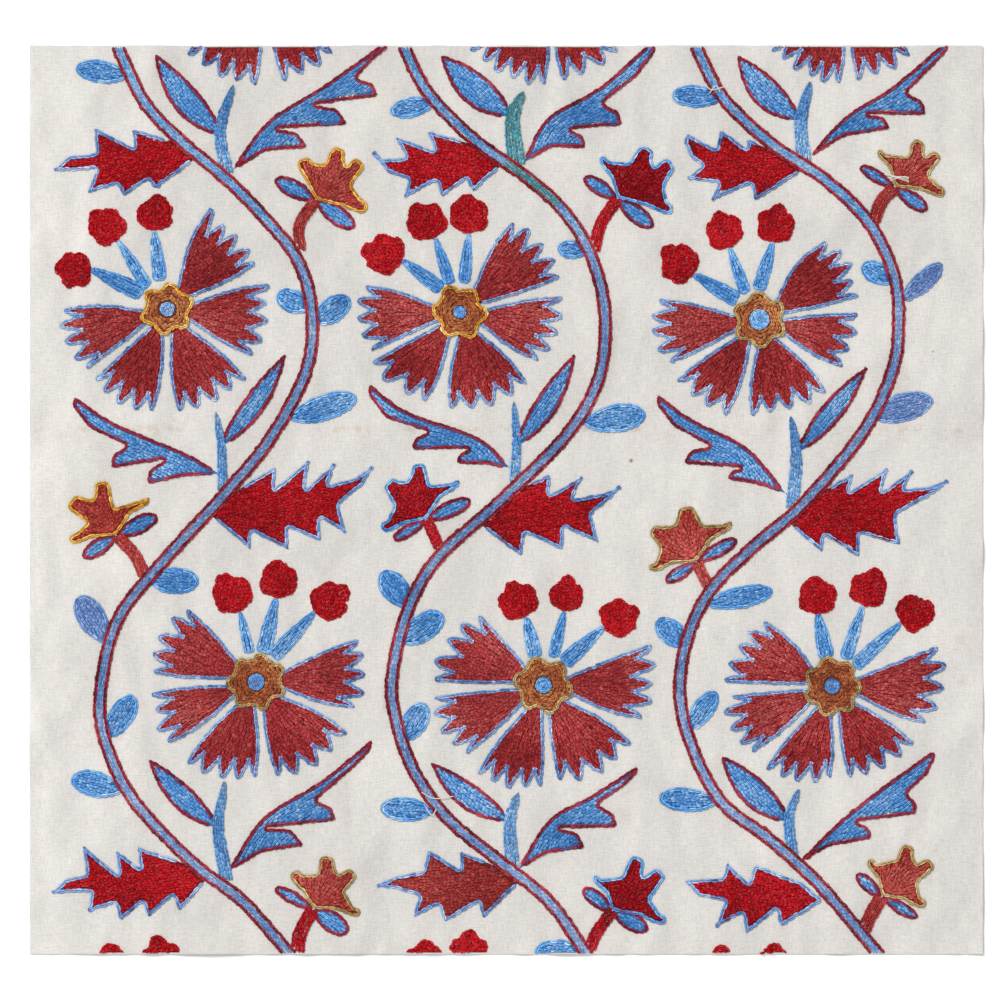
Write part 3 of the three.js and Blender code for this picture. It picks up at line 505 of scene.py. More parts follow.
# Dyes: the dark, middle and light shade of each thread.
DYES = {
    "blue": ("3677be", "6aabe8", "b6dbf9"),
    "vine_blue": ("4676b8", "7fa6de", "bcd4f6"),
    "rim_blue": ("3a64a2", "7ba2d8", "bcd6f6"),
    "teal": ("2f7482", "549fae", "8fd0d6"),
    "lilac": ("587cbc", "84a4da", "b8cef2"),
    "crimson": ("8a2026", "c04244", "e07a72"),
    "deep_crimson": ("80191e", "b83539", "d8625e"),
    "scarlet": ("8a0411", "c60416", "e22230"),
    "edge_red": ("5e0f1b", "921f31", "bd4552"),
    "deep_scarlet": ("78040f", "b00618", "cc2230"),
    "rust": ("80201e", "ae3634", "d05e58"),
    "madder": ("90291f", "c24640", "e0746a"),
    "brown": ("7c3822", "b86438", "e2a264"),
    "gold": ("a8701c", "e0a63a", "fad67c"),
    "beige": ("80683e", "b59a62", "dcc694"),
    "pale": ("b9b09f", "d8d1c4", "efeae1"),
}

# The fill and the outline of each side flower, in order.
SIDE_DYES = [
    ("madder", "gold"),
    ("deep_scarlet", "blue"),
    ("madder", "beige"),
    ("madder", "gold"),
    ("deep_scarlet", "blue"),
    ("madder", "beige"),
    ("madder", "beige"),
    ("deep_scarlet", "blue"),
    ("madder", "beige"),
]

# The rosettes, in order: their outline's dye, their size and their ring's radius.
ROSETTE_EDGES = ["gold", "gold", "beige", "beige", "beige", "beige"]
ROSETTE_SIZES = [11.6, 12.1, 12.3, 13.0, 13.0, 13.1]
RING_RADII = [2.7, 2.4, 4.2, 3.2, 3.2, 2.9]

# The rosettes, counted from 0, with seven lobes and with a pale middle.
SEVEN_LOBED = (3, 5)
PALE_MIDDLES = (0, 1, 3, 5)

# What has a dye of its own: petals that face down this far or start at these degrees, side flowers'
# stems and a serrated leaf by their number, and oval leaves by their end.
LOW_PETAL = -0.75
DEEP_PETALS = (13, 19, 27)
BRIGHT_STEMS = (1, 4, 6, 7)
RUST_LEAF = 7
LILAC_OVALS = [(206, 111.5), (201.5, 47.5), (-202, -45.5)]

# Loose ends of pale thread: the piece, the line, its width and its height over the cloth.
LOOSE_ENDS = table(
    "piece line width lift",
    ("vine_right", ((94, 196), (97, 193.5), (103, 195)), 0.45, 1.2),
    ("vine_right", ((96, 192), (99, 195.5), (101, 192.5)), 0.4, 1.3),
    ("vine_middle", ((-40, -138), (-34, -141), (-25, -140)), 0.45, 1.2),
    ("vine_middle", ((-38, -145), (-35, -149), (-33, -146)), 0.45, 1.1),
    *(
        ("side_flower_3", ((177 + k, 155 - k), (183 + k, 152.5), (190, 150 + k / 2)), 0.4, 1.3)
        for k in (0, 1.4, 3.0, 4.2)
    ),
)

# Creases of the cloth that are too soft for the part's source.
FINE_CREASES = table(
    "from to spread rise",
    ((-222, 34), (-152, 28), 3.5, 0.35),
    ((168, 34), (206, 36), 4.5, 0.4),
    ((-209, -93), (-196, -107), 1.8, 0.5),
    ((198, 80), (209, 76), 1.8, 0.45),
    ((-155, 204), (-153, 160), 3.0, 0.35),
    ((-146, -182), (-144, -213), 2.6, 0.4),
    ((160, -150), (163, -212), 3.2, 0.35),
    ((188, -150), (186, -170), 3.0, 0.3),
    ((172, 26), (200, 36), 2.6, 0.35),
    ((46, 23), (62, 33), 2.2, 0.35),
    ((-30, 150), (-33, 112), 3.0, 0.3),
    ((76, 120), (70, 60), 4.0, 0.35),
    ((-66, 40), (-72, -20), 4.5, 0.35),
    ((60, -110), (64, -200), 4.0, 0.3),
    ((-72, -60), (-78, -130), 4.5, 0.3),
)


def linear(code):
    """The linear colour of a hexadecimal one."""
    parts = np.array([int(code[i : i + 2], 16) / 255 for i in (0, 2, 4)])
    return np.where(parts <= 0.04045, parts / 12.92, ((parts + 0.055) / 1.055) ** 2.4)


DYE = {name: np.array([linear(c) for c in codes]) for name, codes in DYES.items()}


class PanelCloth(bpy.types.PropertyGroup):
    """Sizes of the cotton."""

    width: bpy.props.FloatProperty(
        name="Width", description="Length of the top and bottom edges", default=0.45, unit="LENGTH"
    )
    height: bpy.props.FloatProperty(
        name="Height", description="Length of the left and right edges", default=0.429, unit="LENGTH"
    )
    thickness: bpy.props.FloatProperty(
        name="Thickness", description="Thickness of the sheet", default=0.0012, unit="LENGTH"
    )
    grid: bpy.props.FloatProperty(
        name="Grid", description="Size of the sheet's faces", default=0.003, unit="LENGTH"
    )
    wave: bpy.props.FloatProperty(
        name="Wave", description="Height of the soft unevenness", default=0.00037, unit="LENGTH"
    )
    colour: bpy.props.FloatVectorProperty(
        name="Cotton", description="Colour of the cotton", default=(0.664, 0.636, 0.602), subtype="COLOR"
    )


class PanelStitch(bpy.types.PropertyGroup):
    """Sizes of the chain stitches."""

    edge_width: bpy.props.FloatProperty(
        name="Outline width", description="Width of an outline row", default=0.00185, unit="LENGTH"
    )
    edge_length: bpy.props.FloatProperty(
        name="Outline stitch", description="Length of an outline loop", default=0.003, unit="LENGTH"
    )
    fill_width: bpy.props.FloatProperty(
        name="Fill width", description="Spacing of the fill rows", default=0.0013, unit="LENGTH"
    )
    fill_length: bpy.props.FloatProperty(
        name="Fill stitch", description="Length of a fill loop", default=0.0019, unit="LENGTH"
    )
    height: bpy.props.FloatProperty(
        name="Height", description="Height of a loop over the cloth", default=0.00085, unit="LENGTH"
    )
    shade: bpy.props.FloatProperty(
        name="Shade", description="How much loops differ in shade", default=0.15, subtype="FACTOR"
    )


class PanelStage(bpy.types.PropertyGroup):
    """The floor, light and camera."""

    floor: bpy.props.FloatVectorProperty(
        name="Floor", description="Colour of the floor", default=(0.93, 0.93, 0.93), subtype="COLOR"
    )
    key: bpy.props.FloatProperty(
        name="Key light", description="Strength of the slanting light", default=2.3, subtype="FACTOR"
    )
    sky: bpy.props.FloatProperty(
        name="Even light", description="Strength of the light all round", default=0.69, subtype="FACTOR"
    )
    lens: bpy.props.FloatProperty(
        name="Lens", description="Focal length in millimetres", default=200.0, subtype="DISTANCE_CAMERA"
    )


# Where the steps of a loop stand along a strand.
LOOP_STEPS = [0, 0.25, 0.5, 0.75, 1]

# The lowest the cloth's face goes over the floor.
LOWEST_TOP = 0.75

# Soft unevenness of the cloth: a few long waves in fixed directions.
WAVES = [
    (13.0, 12, 0.3),
    (19.0, -8, 2.1),
    (27.0, 20, 4.0),
    (37.0, 100, 1.2),
    (58.0, -12, 5.0),
    (83.0, 60, 0.7),
]


def cloth_top(x, y):
    """Height of the cloth's face over the floor, in millimetres."""
    cloth = bpy.context.scene.panel_cloth
    top = np.full_like(x, cloth.thickness / MM)
    for length, turn, phase in WAVES:
        along = x * math.cos(math.radians(turn)) + y * math.sin(math.radians(turn))
        across = y * math.cos(math.radians(turn)) - x * math.sin(math.radians(turn))
        bend = 1.6 * np.sin(across / (0.37 * length) + phase)
        top += cloth.wave / MM * (length / 60) ** 0.5 * np.sin(2 * np.pi * along / length + bend + phase)
    for row in CREASES + FINE_CREASES:
        start = np.array(row["from"], float)
        run = np.array(row["to"], float) - start
        size = np.hypot(*run)
        way = run / size
        t = ((x - start[0]) * way[0] + (y - start[1]) * way[1]) / size
        off = ((y - start[1]) * way[0] - (x - start[0]) * way[1]) / row["spread"]
        top += row["rise"] * np.exp(-(off**2)) * np.sin(np.pi * np.clip(t, 0, 1))
    low = LOWEST_TOP + 0.15 * np.exp(np.minimum(top - LOWEST_TOP, 0))
    return np.maximum(top, low)


def dense(line, step=LINE_STEP):
    """A line with points every step, rounded by a smooth curve through it."""
    points = np.asarray(line, float)
    if len(points) > 2:
        ends = np.vstack([2 * points[0] - points[1], points, 2 * points[-1] - points[-2]])
        pieces = []
        for a, b, c, d in zip(ends, ends[1:], ends[2:], ends[3:]):
            t = np.linspace(0, 1, 13)[:-1, None]
            pieces.append(
                0.5
                * (
                    2 * b
                    + (c - a) * t
                    + (2 * a - 5 * b + 4 * c - d) * t**2
                    + (3 * b - a - 3 * c + d) * t**3
                )
            )
        points = np.vstack([*pieces, points[-1:]])
    return evenly(points, step)


def evenly(points, step=LINE_STEP):
    """The same line with points at an even spacing."""
    run = np.concatenate([[0], np.cumsum(np.hypot(*np.diff(points, axis=0).T))])
    count = max(2, int(round(run[-1] / step)) + 1)
    marks = np.linspace(0, run[-1], count)
    return np.column_stack([np.interp(marks, run, points[:, k]) for k in (0, 1)])


def tangents(points):
    """Unit directions along a line."""
    way = np.gradient(points, axis=0)
    return way / np.maximum(np.hypot(*way.T), 1e-9)[:, None]


def normals(points):
    """Unit directions to the left of a line."""
    way = tangents(points)
    return np.column_stack([-way[:, 1], way[:, 0]])


def beside(points, offset):
    """A line pushed to its left by an offset, which is one number or one for each point."""
    return points + normals(points) * np.reshape(offset, (-1, 1))


def closed(ring):
    """A line round a closed outline, with points at an even spacing."""
    return evenly(np.vstack([ring, ring[:1]]))


def polar(middle, turn, reach):
    """Points round a middle, at a turn in radians and a reach."""
    return np.asarray(middle) + np.stack([np.cos(turn), np.sin(turn)], -1) * np.asarray(reach)[..., None]


def rounded(outline, tip, valley):
    """A closed outline with its outer corners rounded by tip and its inner ones by valley."""
    points = np.asarray(outline, float)
    if area(points) < 0:
        points = points[::-1]
    out = []
    for before, here, after in zip(np.roll(points, 1, 0), points, np.roll(points, -1, 0)):
        one, other = before - here, after - here
        turn = one[1] * other[0] - one[0] * other[1]
        reach = tip if turn > 0 else valley
        start = here + one * min(ROUNDED_SHARE, reach / np.hypot(*one))
        end = here + other * min(ROUNDED_SHARE, reach / np.hypot(*other))
        t = np.linspace(0, 1, 6)[:, None]
        out.append((1 - t) ** 2 * start + 2 * t * (1 - t) * here + t**2 * end)
    return np.vstack(out)


def area(points):
    """Twice the signed area of a closed outline."""
    x, y = points.T
    return np.sum(x * np.roll(y, -1) - np.roll(x, -1) * y)


def depth(points, outline):
    """How deep each point lies inside a closed outline, negative outside."""
    a = outline
    b = np.roll(outline, -1, 0)
    edge = b - a
    out = np.empty(len(points))
    for first in range(0, len(points), 2000):
        p = points[first : first + 2000, None, :]
        t = np.clip(np.sum((p - a) * edge, 2) / np.maximum(np.sum(edge**2, 1), 1e-12), 0, 1)
        gap = p - (a + t[..., None] * edge)
        far = np.sqrt(np.min(np.sum(gap**2, 2), 1))
        above = (a[:, 1] > p[..., 1]) != (b[:, 1] > p[..., 1])
        rise = np.where(np.abs(edge[:, 1]) < 1e-12, 1e-12, edge[:, 1])
        crossing = a[:, 0] + (p[..., 1] - a[:, 1]) * edge[:, 0] / rise
        inside = np.sum(above & (p[..., 0] < crossing), 1) % 2 == 1
        out[first : first + 2000] = np.where(inside, far, -far)
    return out


def inset(outline, gap):
    """A closed outline moved inwards by a gap, with its sharp corners kept."""
    points = outline if area(outline) > 0 else outline[::-1]
    before = points - np.roll(points, 1, 0)
    after = np.roll(points, -1, 0) - points
    before /= np.maximum(np.hypot(*before.T), 1e-9)[:, None]
    after /= np.maximum(np.hypot(*after.T), 1e-9)[:, None]
    way = np.column_stack([-(before + after)[:, 1], (before + after)[:, 0]])
    size = np.maximum(np.hypot(*way.T), 1e-9)
    reach = np.minimum(2 / size, CORNER_REACH)
    return points + way / size[:, None] * (gap * reach)[:, None]


VINE_LINES = [dense(row["line"], 1.0) for row in VINES]


def off_vines(points):
    """How far each point lies from the nearest vine's middle line."""
    far = np.full(len(points), np.inf)
    for line in VINE_LINES:
        near = np.hypot(points[:, None, 0] - line[None, :, 0], points[:, None, 1] - line[None, :, 1])
        far = np.minimum(far, near.min(1))
    return far


def on_cloth(points):
    """Whether each point lies on the cloth, clear of its cut edges."""
    cloth = bpy.context.scene.panel_cloth
    room = np.array([cloth.width, cloth.height]) / MM / 2 - EDGE_ROOM
    return np.all(np.abs(points) < room, axis=1)


def runs(keep, least=1.6):
    """The stretches of a line whose points are all kept, where they are long enough."""
    edges = np.flatnonzero(np.diff(np.concatenate([[0], keep.astype(int), [0]])))
    for first, last in zip(edges[::2], edges[1::2]):
        if last - first > 3 and (last - first) * LINE_STEP >= least:
            yield slice(first, last)


# How far out and how strongly a petal's side swells, from its root to its tip.
SIDE_SWELL = [(0.22, 0.7), (0.45, 1.0), (0.7, 0.75), (0.9, 0.25)]

# Bumps round a bud: how far each is turned from its far end, how high and how wide it is.
BUD_BUMPS = [(0, 0.32, 24), (-62, 0.17, 23), (62, 0.17, 23), (-120, 0.15, 24), (122, 0.15, 24)]

# The radius of a bud without its bumps, as a share of its size.
BUD_BASE = 0.86

# The shape of one stitch of each kind, once it is made.
MADE = {}


def loop_shape(parts, bow, half):
    """One chain stitch: two strands that bow out from its root and meet over its tip."""
    bpy.ops.object.select_all(action="DESELECT")
    bpy.ops.mesh.primitive_grid_add(x_subdivisions=parts, y_subdivisions=2, size=1)
    strip = bpy.context.object
    spots = np.array([v.co[:] for v in strip.data.vertices])
    quads = np.array([list(f.vertices) for f in strip.data.polygons])
    bpy.data.objects.remove(strip, do_unlink=True)
    t = spots[:, 0] + 0.5
    side = spots[:, 1] * 2
    along = np.interp(t, LOOP_STEPS, [0.0, 0.27, 0.62, 0.98, 1.16])
    out = np.interp(t, LOOP_STEPS, [0.2 * bow, 0.85 * bow, bow, 0.8 * bow, 0.05])
    lift = np.interp(t, LOOP_STEPS, [0.45, 0.85, 1.0, 0.95, 0.6])
    wide = np.interp(t, LOOP_STEPS, [0.55 * half, 0.9 * half, half, 0.95 * half, 0.6 * half])
    ahead = np.interp(t, LOOP_STEPS, [0.0, 0.0, 0.02, 0.06, 0.09])
    strand = np.column_stack(
        [along + ahead * side, out + wide * side, np.where(side == 0, lift, lift * 0.22), t]
    )
    other = strand * [1, -1, 1, 1]
    shape = np.vstack([strand, other])
    faces = np.vstack([quads, quads[:, ::-1] + len(strand)])
    return shape, faces


class Stitching:
    """Gathers the stitches and the bed under them for one piece."""

    def __init__(self, seed):
        self.random = np.random.default_rng(seed)
        self.points, self.faces, self.colours, self.count = [], [], [], 0
        if not MADE:
            MADE["edge"] = loop_shape(4, 0.27, 0.24)
            MADE["fill"] = loop_shape(3, 0.26, 0.21)

    def shades(self, dye, count, spots):
        """A shade of a dye for each stitch, with a slow drift over the cloth."""
        stitch = bpy.context.scene.panel_stitch
        x, y = spots.T
        drift = 0.5 + 0.12 * np.sin(x / 9.0 + y / 14.0) + 0.10 * np.sin(y / 6.0)
        level = np.clip(drift + self.random.normal(0, stitch.shade, count), 0, 1)[:, None]
        dark, middle, light = DYE[dye]
        low, high = dark + (middle - dark) * level * 2, middle + (light - middle) * (level * 2 - 1)
        return np.where(level < 0.5, low, high)

    def row(self, line, dye, width, length, lift=0.0, kind="edge", uneven=0.08):
        """A row of chain stitches along a line; width is one number or one for each point."""
        stitch = bpy.context.scene.panel_stitch
        shape, quads = MADE[kind]
        steps = np.hypot(*np.diff(line, axis=0).T)
        run = np.concatenate([[0], np.cumsum(steps)])
        total = run[-1]
        count = max(1, int(round(total / length)))
        marks = np.linspace(0, total, count + 1)
        marks[1:-1] += self.random.uniform(-0.12, 0.12, count - 1) * total / count
        size = np.diff(marks)
        s = marks[:-1, None] + shape[None, :, 0] * size[:, None]
        way = tangents(line)
        x, y = (np.interp(s, run, line[:, k]) for k in (0, 1))
        over = np.maximum(s - total, 0)
        tx, ty = (np.interp(s, run, way[:, k]) for k in (0, 1))
        wide = np.interp(s, run, np.broadcast_to(width, run.shape))
        wide = wide * self.random.normal(1, 0.07, count)[:, None]
        slant = self.random.normal(0, 1.6 * uneven, count)[:, None] * (shape[None, :, 3] - 0.5)
        aside = shape[None, :, 1] * wide + self.random.normal(0, uneven, count)[:, None] + slant
        x, y = x + tx * over - ty * aside, y + ty * over + tx * aside
        tall = stitch.height / MM * self.random.normal(1, 0.08, count)[:, None] * (0.7 + 0.3 * wide / 1.6)
        z = cloth_top(x.ravel(), y.ravel()).reshape(x.shape) + lift + shape[None, :, 2] * tall
        spots = np.column_stack([x[:, 0], y[:, 0]])
        tone = self.shades(dye, count, spots)[:, None, :]
        # Painted shading in the colour: one strand of a loop a little lighter and the other darker, each
        # loop dark at its root, light in its middle and darker at its tip, and each strand's ridge lit
        # while its low sides are shaded.
        strand = np.where(shape[None, :, 1] > 0, 1.0, -1.0) * self.random.normal(0.08, 0.14, count)[:, None]
        painted_loop_shading = np.interp(shape[:, 3], [0, 0.2, 0.6, 1], [0.42, 0.9, 1.18, 0.75])[None, :] * (1 + strand)
        painted_ridge_shading = np.where(shape[None, :, 2] > 0.3, 1.2, 0.42)
        self.colours.append((tone * (painted_loop_shading * painted_ridge_shading)[..., None]).reshape(-1, 3))
        self.points.append(np.column_stack([x.ravel(), y.ravel(), z.ravel()]))
        block = len(shape)
        first = self.count + np.arange(count) * block
        self.faces.append((quads[None] + first[:, None, None]).reshape(-1, 4))
        self.count += count * block

    def bed(self, outline, dye, lift=0.25):
        """A thin layer of thread under the stitches, shaped as an outline, darkened as painted shade for
        the gaps between stitches.
        """
        cloth = bpy.context.scene.panel_cloth
        room = np.array([cloth.width, cloth.height]) / MM / 2 - BED_ROOM
        edge = np.clip(inset(outline, BED_GAP), -room, room)
        edge = edge[np.hypot(*(edge - np.roll(edge, 1, 0)).T) > 0.05]
        marks = [np.arange(low, high, BED_STEP) for low, high in zip(edge.min(0), edge.max(0))]
        inner = np.stack(np.meshgrid(*marks), -1).reshape(-1, 2)
        inner = inner[depth(inner, edge) > 0.8]
        spots = [tuple(p) for p in np.vstack([edge, inner])]
        made = delaunay_2d_cdt(spots, [], [list(range(len(edge)))], 1, 1e-5)
        flat = np.array([v[:] for v in made[0]])
        keep = [list(f) for f in made[2]]
        if not keep:
            return
        z = cloth_top(flat[:, 0], flat[:, 1]) + lift
        self.points.append(np.column_stack([flat, z]))
        # Painted shade: the bed takes the dye's dark shade, darkened further, for the shadow in the gaps
        # between stitches.
        self.colours.append(np.tile(DYE[dye][0] * BED_PAINTED_SHADE, (len(flat), 1)))
        self.faces.append(np.array([[*face, face[0]] for face in keep]) + self.count)
        self.count += len(flat)

    def fill(
        self, outline, lines, dye, gap, lift=0.0, vine_gap=None, length=None, widths=None, uneven=0.18
    ):
        """Rows along many lines, each kept only where it lies inside an outline."""
        stitch = bpy.context.scene.panel_stitch
        length = length or stitch.fill_length / MM
        for index, line in enumerate(lines):
            keep = (depth(line, outline) > gap) & on_cloth(line)
            if vine_gap:
                keep &= off_vines(line) > vine_gap
            for part in runs(keep):
                width = stitch.fill_width / MM * 1.05 if widths is None else widths[index][part]
                self.row(line[part], dye, width, length, lift, "fill", uneven)

    def edge(self, outline, dye, lift=0.0, vine_gap=None, width=None, length=None, clear=None, uneven=0.1):
        """A row just inside a closed outline; clear is a place and how far the row stays from it."""
        stitch = bpy.context.scene.panel_stitch
        width = width or stitch.edge_width / MM
        length = length or stitch.edge_length / MM
        ring = inset(outline, width / 2)
        line = closed(ring)
        keep = on_cloth(line)
        if vine_gap:
            keep &= off_vines(line) > vine_gap
        if clear:
            keep &= np.hypot(*(line - clear[0]).T) > clear[1]
        if not keep.all():
            first = int(np.argmin(keep))
            line, keep = np.roll(line[:-1], -first, 0), np.roll(keep[:-1], -first)
        wide = np.clip(2 * depth(line, outline), 1.15, width)
        for part in runs(keep, 2.5):
            self.row(line[part], dye, wide[part], length, lift, uneven=uneven)

    def strand(self, line, width, lift):
        """A loose end of thread that lies over the work."""
        line = dense(line, 1.0)
        z = cloth_top(line[:, 0], line[:, 1]) + lift
        rings = []
        for side, up in ((-0.5, -0.25), (0, 0.25), (0.5, -0.25)):
            rings.append(np.column_stack([line + normals(line) * side * width, z + up * width]))
        count = len(line)
        self.points.append(np.vstack(rings))
        self.colours.append(np.tile(DYE["pale"][1], (3 * count, 1)))
        for k in (0, 1):
            low = self.count + k * count + np.arange(count - 1)
            self.faces.append(np.column_stack([low, low + 1, low + count + 1, low + count])[:, ::-1])
        self.count += 3 * count

    def finish(self, node, material):
        """Makes the piece, which stands for its CAD node, with the loose ends that lie on it."""
        for row in LOOSE_ENDS:
            if row["piece"] == node:
                self.strand(row["line"], row["width"], row["lift"])
        name = f"{node}_stitches"
        points = np.vstack(self.points) * MM
        faces = [list(dict.fromkeys(face)) for face in np.vstack(self.faces).tolist()]
        mesh = bpy.data.meshes.new(name)
        mesh.from_pydata(points.tolist(), [], faces)
        # The colours hold each dye with the painted shading of the loops and the painted shade of the beds.
        colours = np.vstack(self.colours)
        colours = np.column_stack([colours, np.ones(len(colours))]).astype(np.float32)
        mesh.attributes.new("thread", "FLOAT_COLOR", "POINT").data.foreach_set("color", colours.ravel())
        mesh.validate()
        piece = bpy.data.objects.new(name, mesh)
        bpy.context.scene.collection.objects.link(piece)
        mesh.materials.append(material)
        bpy.ops.object.select_all(action="DESELECT")
        bpy.context.view_layer.objects.active = piece
        piece.select_set(True)
        bpy.ops.object.shade_smooth()
        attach(piece, "root")
        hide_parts(node)


def petal_outline(middle, row, swell, random):
    """A fan petal: sides that swell outwards from its root, and blunt teeth along its outer edge."""

    def spot(degrees, reach):
        return polar(middle, np.radians(degrees), reach)

    first, last, tips = row["first"], row["last"], row["tips"]
    teeth = len(tips)
    step = (last - first) / (teeth - 1)
    root = ROSETTE_RADIUS - 1.5
    one, other = swell
    out = [spot(first + 1.0, root)]
    out += [spot(first - one * part, root + (tips[0] - root) * t) for t, part in SIDE_SWELL]
    valleys = []
    for k, tall in enumerate(tips):
        sway = 0.06 if k == 0 else -0.06 if k == teeth - 1 else random.uniform(-0.08, 0.08)
        angle = first + step * (k + sway)
        if k > 0:
            out.append(spot(angle - TOOTH_SHOULDER * step, tall - TOOTH_DROP))
        out += [spot(angle - TOOTH_TIP * step, tall), spot(angle + TOOTH_TIP * step, tall)]
        if k < teeth - 1:
            out.append(spot(angle + TOOTH_SHOULDER * step, tall - TOOTH_DROP))
            low = min(tall, tips[k + 1]) * (PETAL_NOTCH + random.uniform(-0.015, 0.015))
            turn = first + step * (k + 0.5 + random.uniform(-0.06, 0.06))
            valleys.append((spot(turn, low - 0.6), spot(turn, low - 2.9)))
            out.append(spot(turn, low))
    out += [spot(last + other * part, root + (tips[-1] - root) * t) for t, part in SIDE_SWELL[::-1]]
    out.append(spot(last - 1.0, root))
    return np.array(out), valleys


def petal_swells(petals, open_sides):
    """How far each petal's sides swell, in degrees; open_sides are those towards the stamens."""
    swells = []
    order = sorted(range(len(petals)), key=lambda k: petals[k]["first"])
    for k, row in enumerate(petals):
        place = order.index(k)
        pair = list(open_sides)
        if place > 0:
            pair[0] = np.clip((row["first"] - petals[order[place - 1]]["last"]) / 2 - 2.9, 0.0, 4.4)
        if place < len(order) - 1:
            pair[1] = np.clip((petals[order[place + 1]]["first"] - row["last"]) / 2 - 2.9, 0.0, 4.4)
        swells.append([float(p) for p in pair])
    return swells


def fan_rows(middle, first, last, inner, outer, random):
    """Rows that spread from a middle, with more of them further out, and their widths."""
    step = math.degrees(FAN_PITCH / outer)
    lines, widths = [], []
    split = outer * 0.58
    for k, angle in enumerate(np.arange(first, last, step)):
        start = inner if k % 2 == 0 else split + random.uniform(-2.5, 2.5)
        reach = np.arange(start, outer, LINE_STEP)
        sway = 0.5 * np.sin(reach / 9.0 + k)
        turn = np.radians(angle + sway * 0.6)
        lines.append(polar(middle, turn, reach))
        full = math.radians(step) * reach
        before = np.clip((split + 2 - reach) / 4, 0, 1)
        widths.append(np.clip(full * (1 + (before if k % 2 == 0 else 0)), 1.0, 1.9) * 1.04)
    return lines, widths


def lengthwise_rows(axis, half):
    """Rows beside an axis line, out to half a width on both sides."""
    count = int(half / FILL_PITCH) + 1
    return [beside(axis, k * FILL_PITCH) for k in range(-count, count + 1)]


def leaf_outline(foot, end, width, fullness, bow):
    """A leaf between a foot and an end; one with no fullness is an egg with its round end at the end."""
    foot, end = np.array(foot, float), np.array(end, float)
    along = end - foot
    across = np.array([-along[1], along[0]]) / np.hypot(*along)
    t = (1 - np.cos(np.linspace(0, np.pi, 26)))[1:-1, None] / 2
    if fullness:
        half = width / 2 * np.sin(np.pi * t**fullness) ** LEAF_SHOULDER
    else:
        rise = np.sin(np.pi / 2 * np.minimum(t / EGG_WIDEST, 1)) ** EGG_FOOT
        half = width / 2 * rise * np.sqrt(1 - (np.maximum(t - EGG_WIDEST, 0) / (1 - EGG_WIDEST)) ** 2)
    axis = foot + along * t + across * bow * np.sin(np.pi * t)
    return np.vstack([foot, axis - across * half, end, (axis + across * half)[::-1]])


def leaf_axis(foot, end, bow):
    """The middle line of a leaf, run a little past both its ends."""
    foot, end = np.array(foot, float), np.array(end, float)
    along = end - foot
    across = np.array([-along[1], along[0]]) / np.hypot(*along)
    t = np.linspace(-0.05, 1.05, 24)[:, None]
    return evenly(foot + along * t + across * bow * np.sin(np.pi * t))


def lobed_outline(middle, radius, lobes, deep, turn=0.0, points=96):
    """A round shape with blunt lobes, uneven in height."""
    angle = np.linspace(0, 2 * np.pi, points, endpoint=False)
    wave = np.cos(lobes * (angle - turn))
    reach = radius + deep * np.sign(wave) * np.abs(wave) ** 0.7 + 0.3 * deep * np.sin(2 * angle + 3 * turn)
    return polar(middle, angle, reach)


def ring_rows(outline, middle, first, pitch):
    """Closed rows, one inside the other, from an outline to its middle."""
    middle = np.asarray(middle, float)
    radius = np.hypot(*(outline - middle).T).mean()
    rows, gap = [], first
    while radius - gap > pitch * 0.35:
        ring = middle + (outline - middle) * (radius - gap) / radius
        rows.append(closed(ring))
        gap += pitch
    return rows


def off_line(one, other, part, push, target):
    """A point part of the way along a line and pushed off it, towards a target."""
    one, other = np.array(one, float), np.array(other, float)
    run = other - one
    aside = np.array([-run[1], run[0]]) * push
    middle = one + run * part
    choices = [middle + aside, middle - aside]
    return min(choices, key=lambda p: np.hypot(*(p - np.asarray(target))))


def barbed_outline(row):
    """A barbed leaf: a bowed back from foot to tip, then the underside with its notches and barbs."""
    bow = dense([row["foot"], *row["back"], row["tip"]], 4.0)
    below = []
    for notch, end in row["barbs"]:
        below += [notch, off_line(notch, end, BARB_SHOULDER, BARB_BULGE, row["tip"]), end]
    heel = off_line(below[-1], row["foot"], 0.5, row["heel"], row["back"][0])
    tip, run = np.array(row["tip"], float), np.subtract(row["under"], row["tip"])
    push = np.array([-run[1], run[0]]) * BARBED_BLUNT
    sides = (tip + run * 0.3 + push, tip + run * 0.3 - push)
    blunt = max(sides, key=lambda spot: np.hypot(*(spot - row["back"][-1])))
    return np.vstack([bow, blunt, row["under"], *below, heel])


def serrated_outline(row):
    """A leaf with teeth on both sides."""
    one, other = row["roots"]
    return np.array([one, *row["upper"], row["tip"], *row["lower"][::-1], other], float)


def flower_outline(row):
    """A side flower: blunt lobes that fan out from its neck; a narrow outer lobe is hollow outside."""
    neck = np.array(row["neck"], float)
    out = [neck]
    for k, (x, y, half) in enumerate(row["lobes"]):
        reach = np.array([x, y]) - neck
        size = np.hypot(*reach)
        way = reach / size
        across = np.array([way[1], -way[0]])
        side, wide = neck + way * (size - 3.4), half + 0.9
        end = neck + reach
        outer = wide / 2 - 1.1 * max(0.0, 3.0 - half)
        if k == 0:
            out.append(neck + reach / 2 - across * outer)
        out += [side - across * wide, end - across * half, end + across * half, side + across * wide]
        if k == len(row["lobes"]) - 1:
            out.append(neck + reach / 2 + across * outer)
        else:
            out.append(np.array(row["valleys"][k], float))
    return np.array(out)


def sew_leaf(work, row, dye, edge, fullness, vine_gap=None, open_foot=0.0):
    """A leaf with its fill along its length; its outline stops short of the foot by open_foot."""
    bow = row.get("bow", 0.0)
    outline = leaf_outline(row["foot"], row["end"], row["width"], fullness, bow)
    axis = leaf_axis(row["foot"], row["end"], bow)
    work.bed(outline, dye)
    work.fill(outline, lengthwise_rows(axis, row["width"] / 2), dye, 1.85, vine_gap=vine_gap)
    clear = (row["foot"], open_foot) if open_foot else None
    work.edge(outline, edge or dye, 0.05, vine_gap, clear=clear)


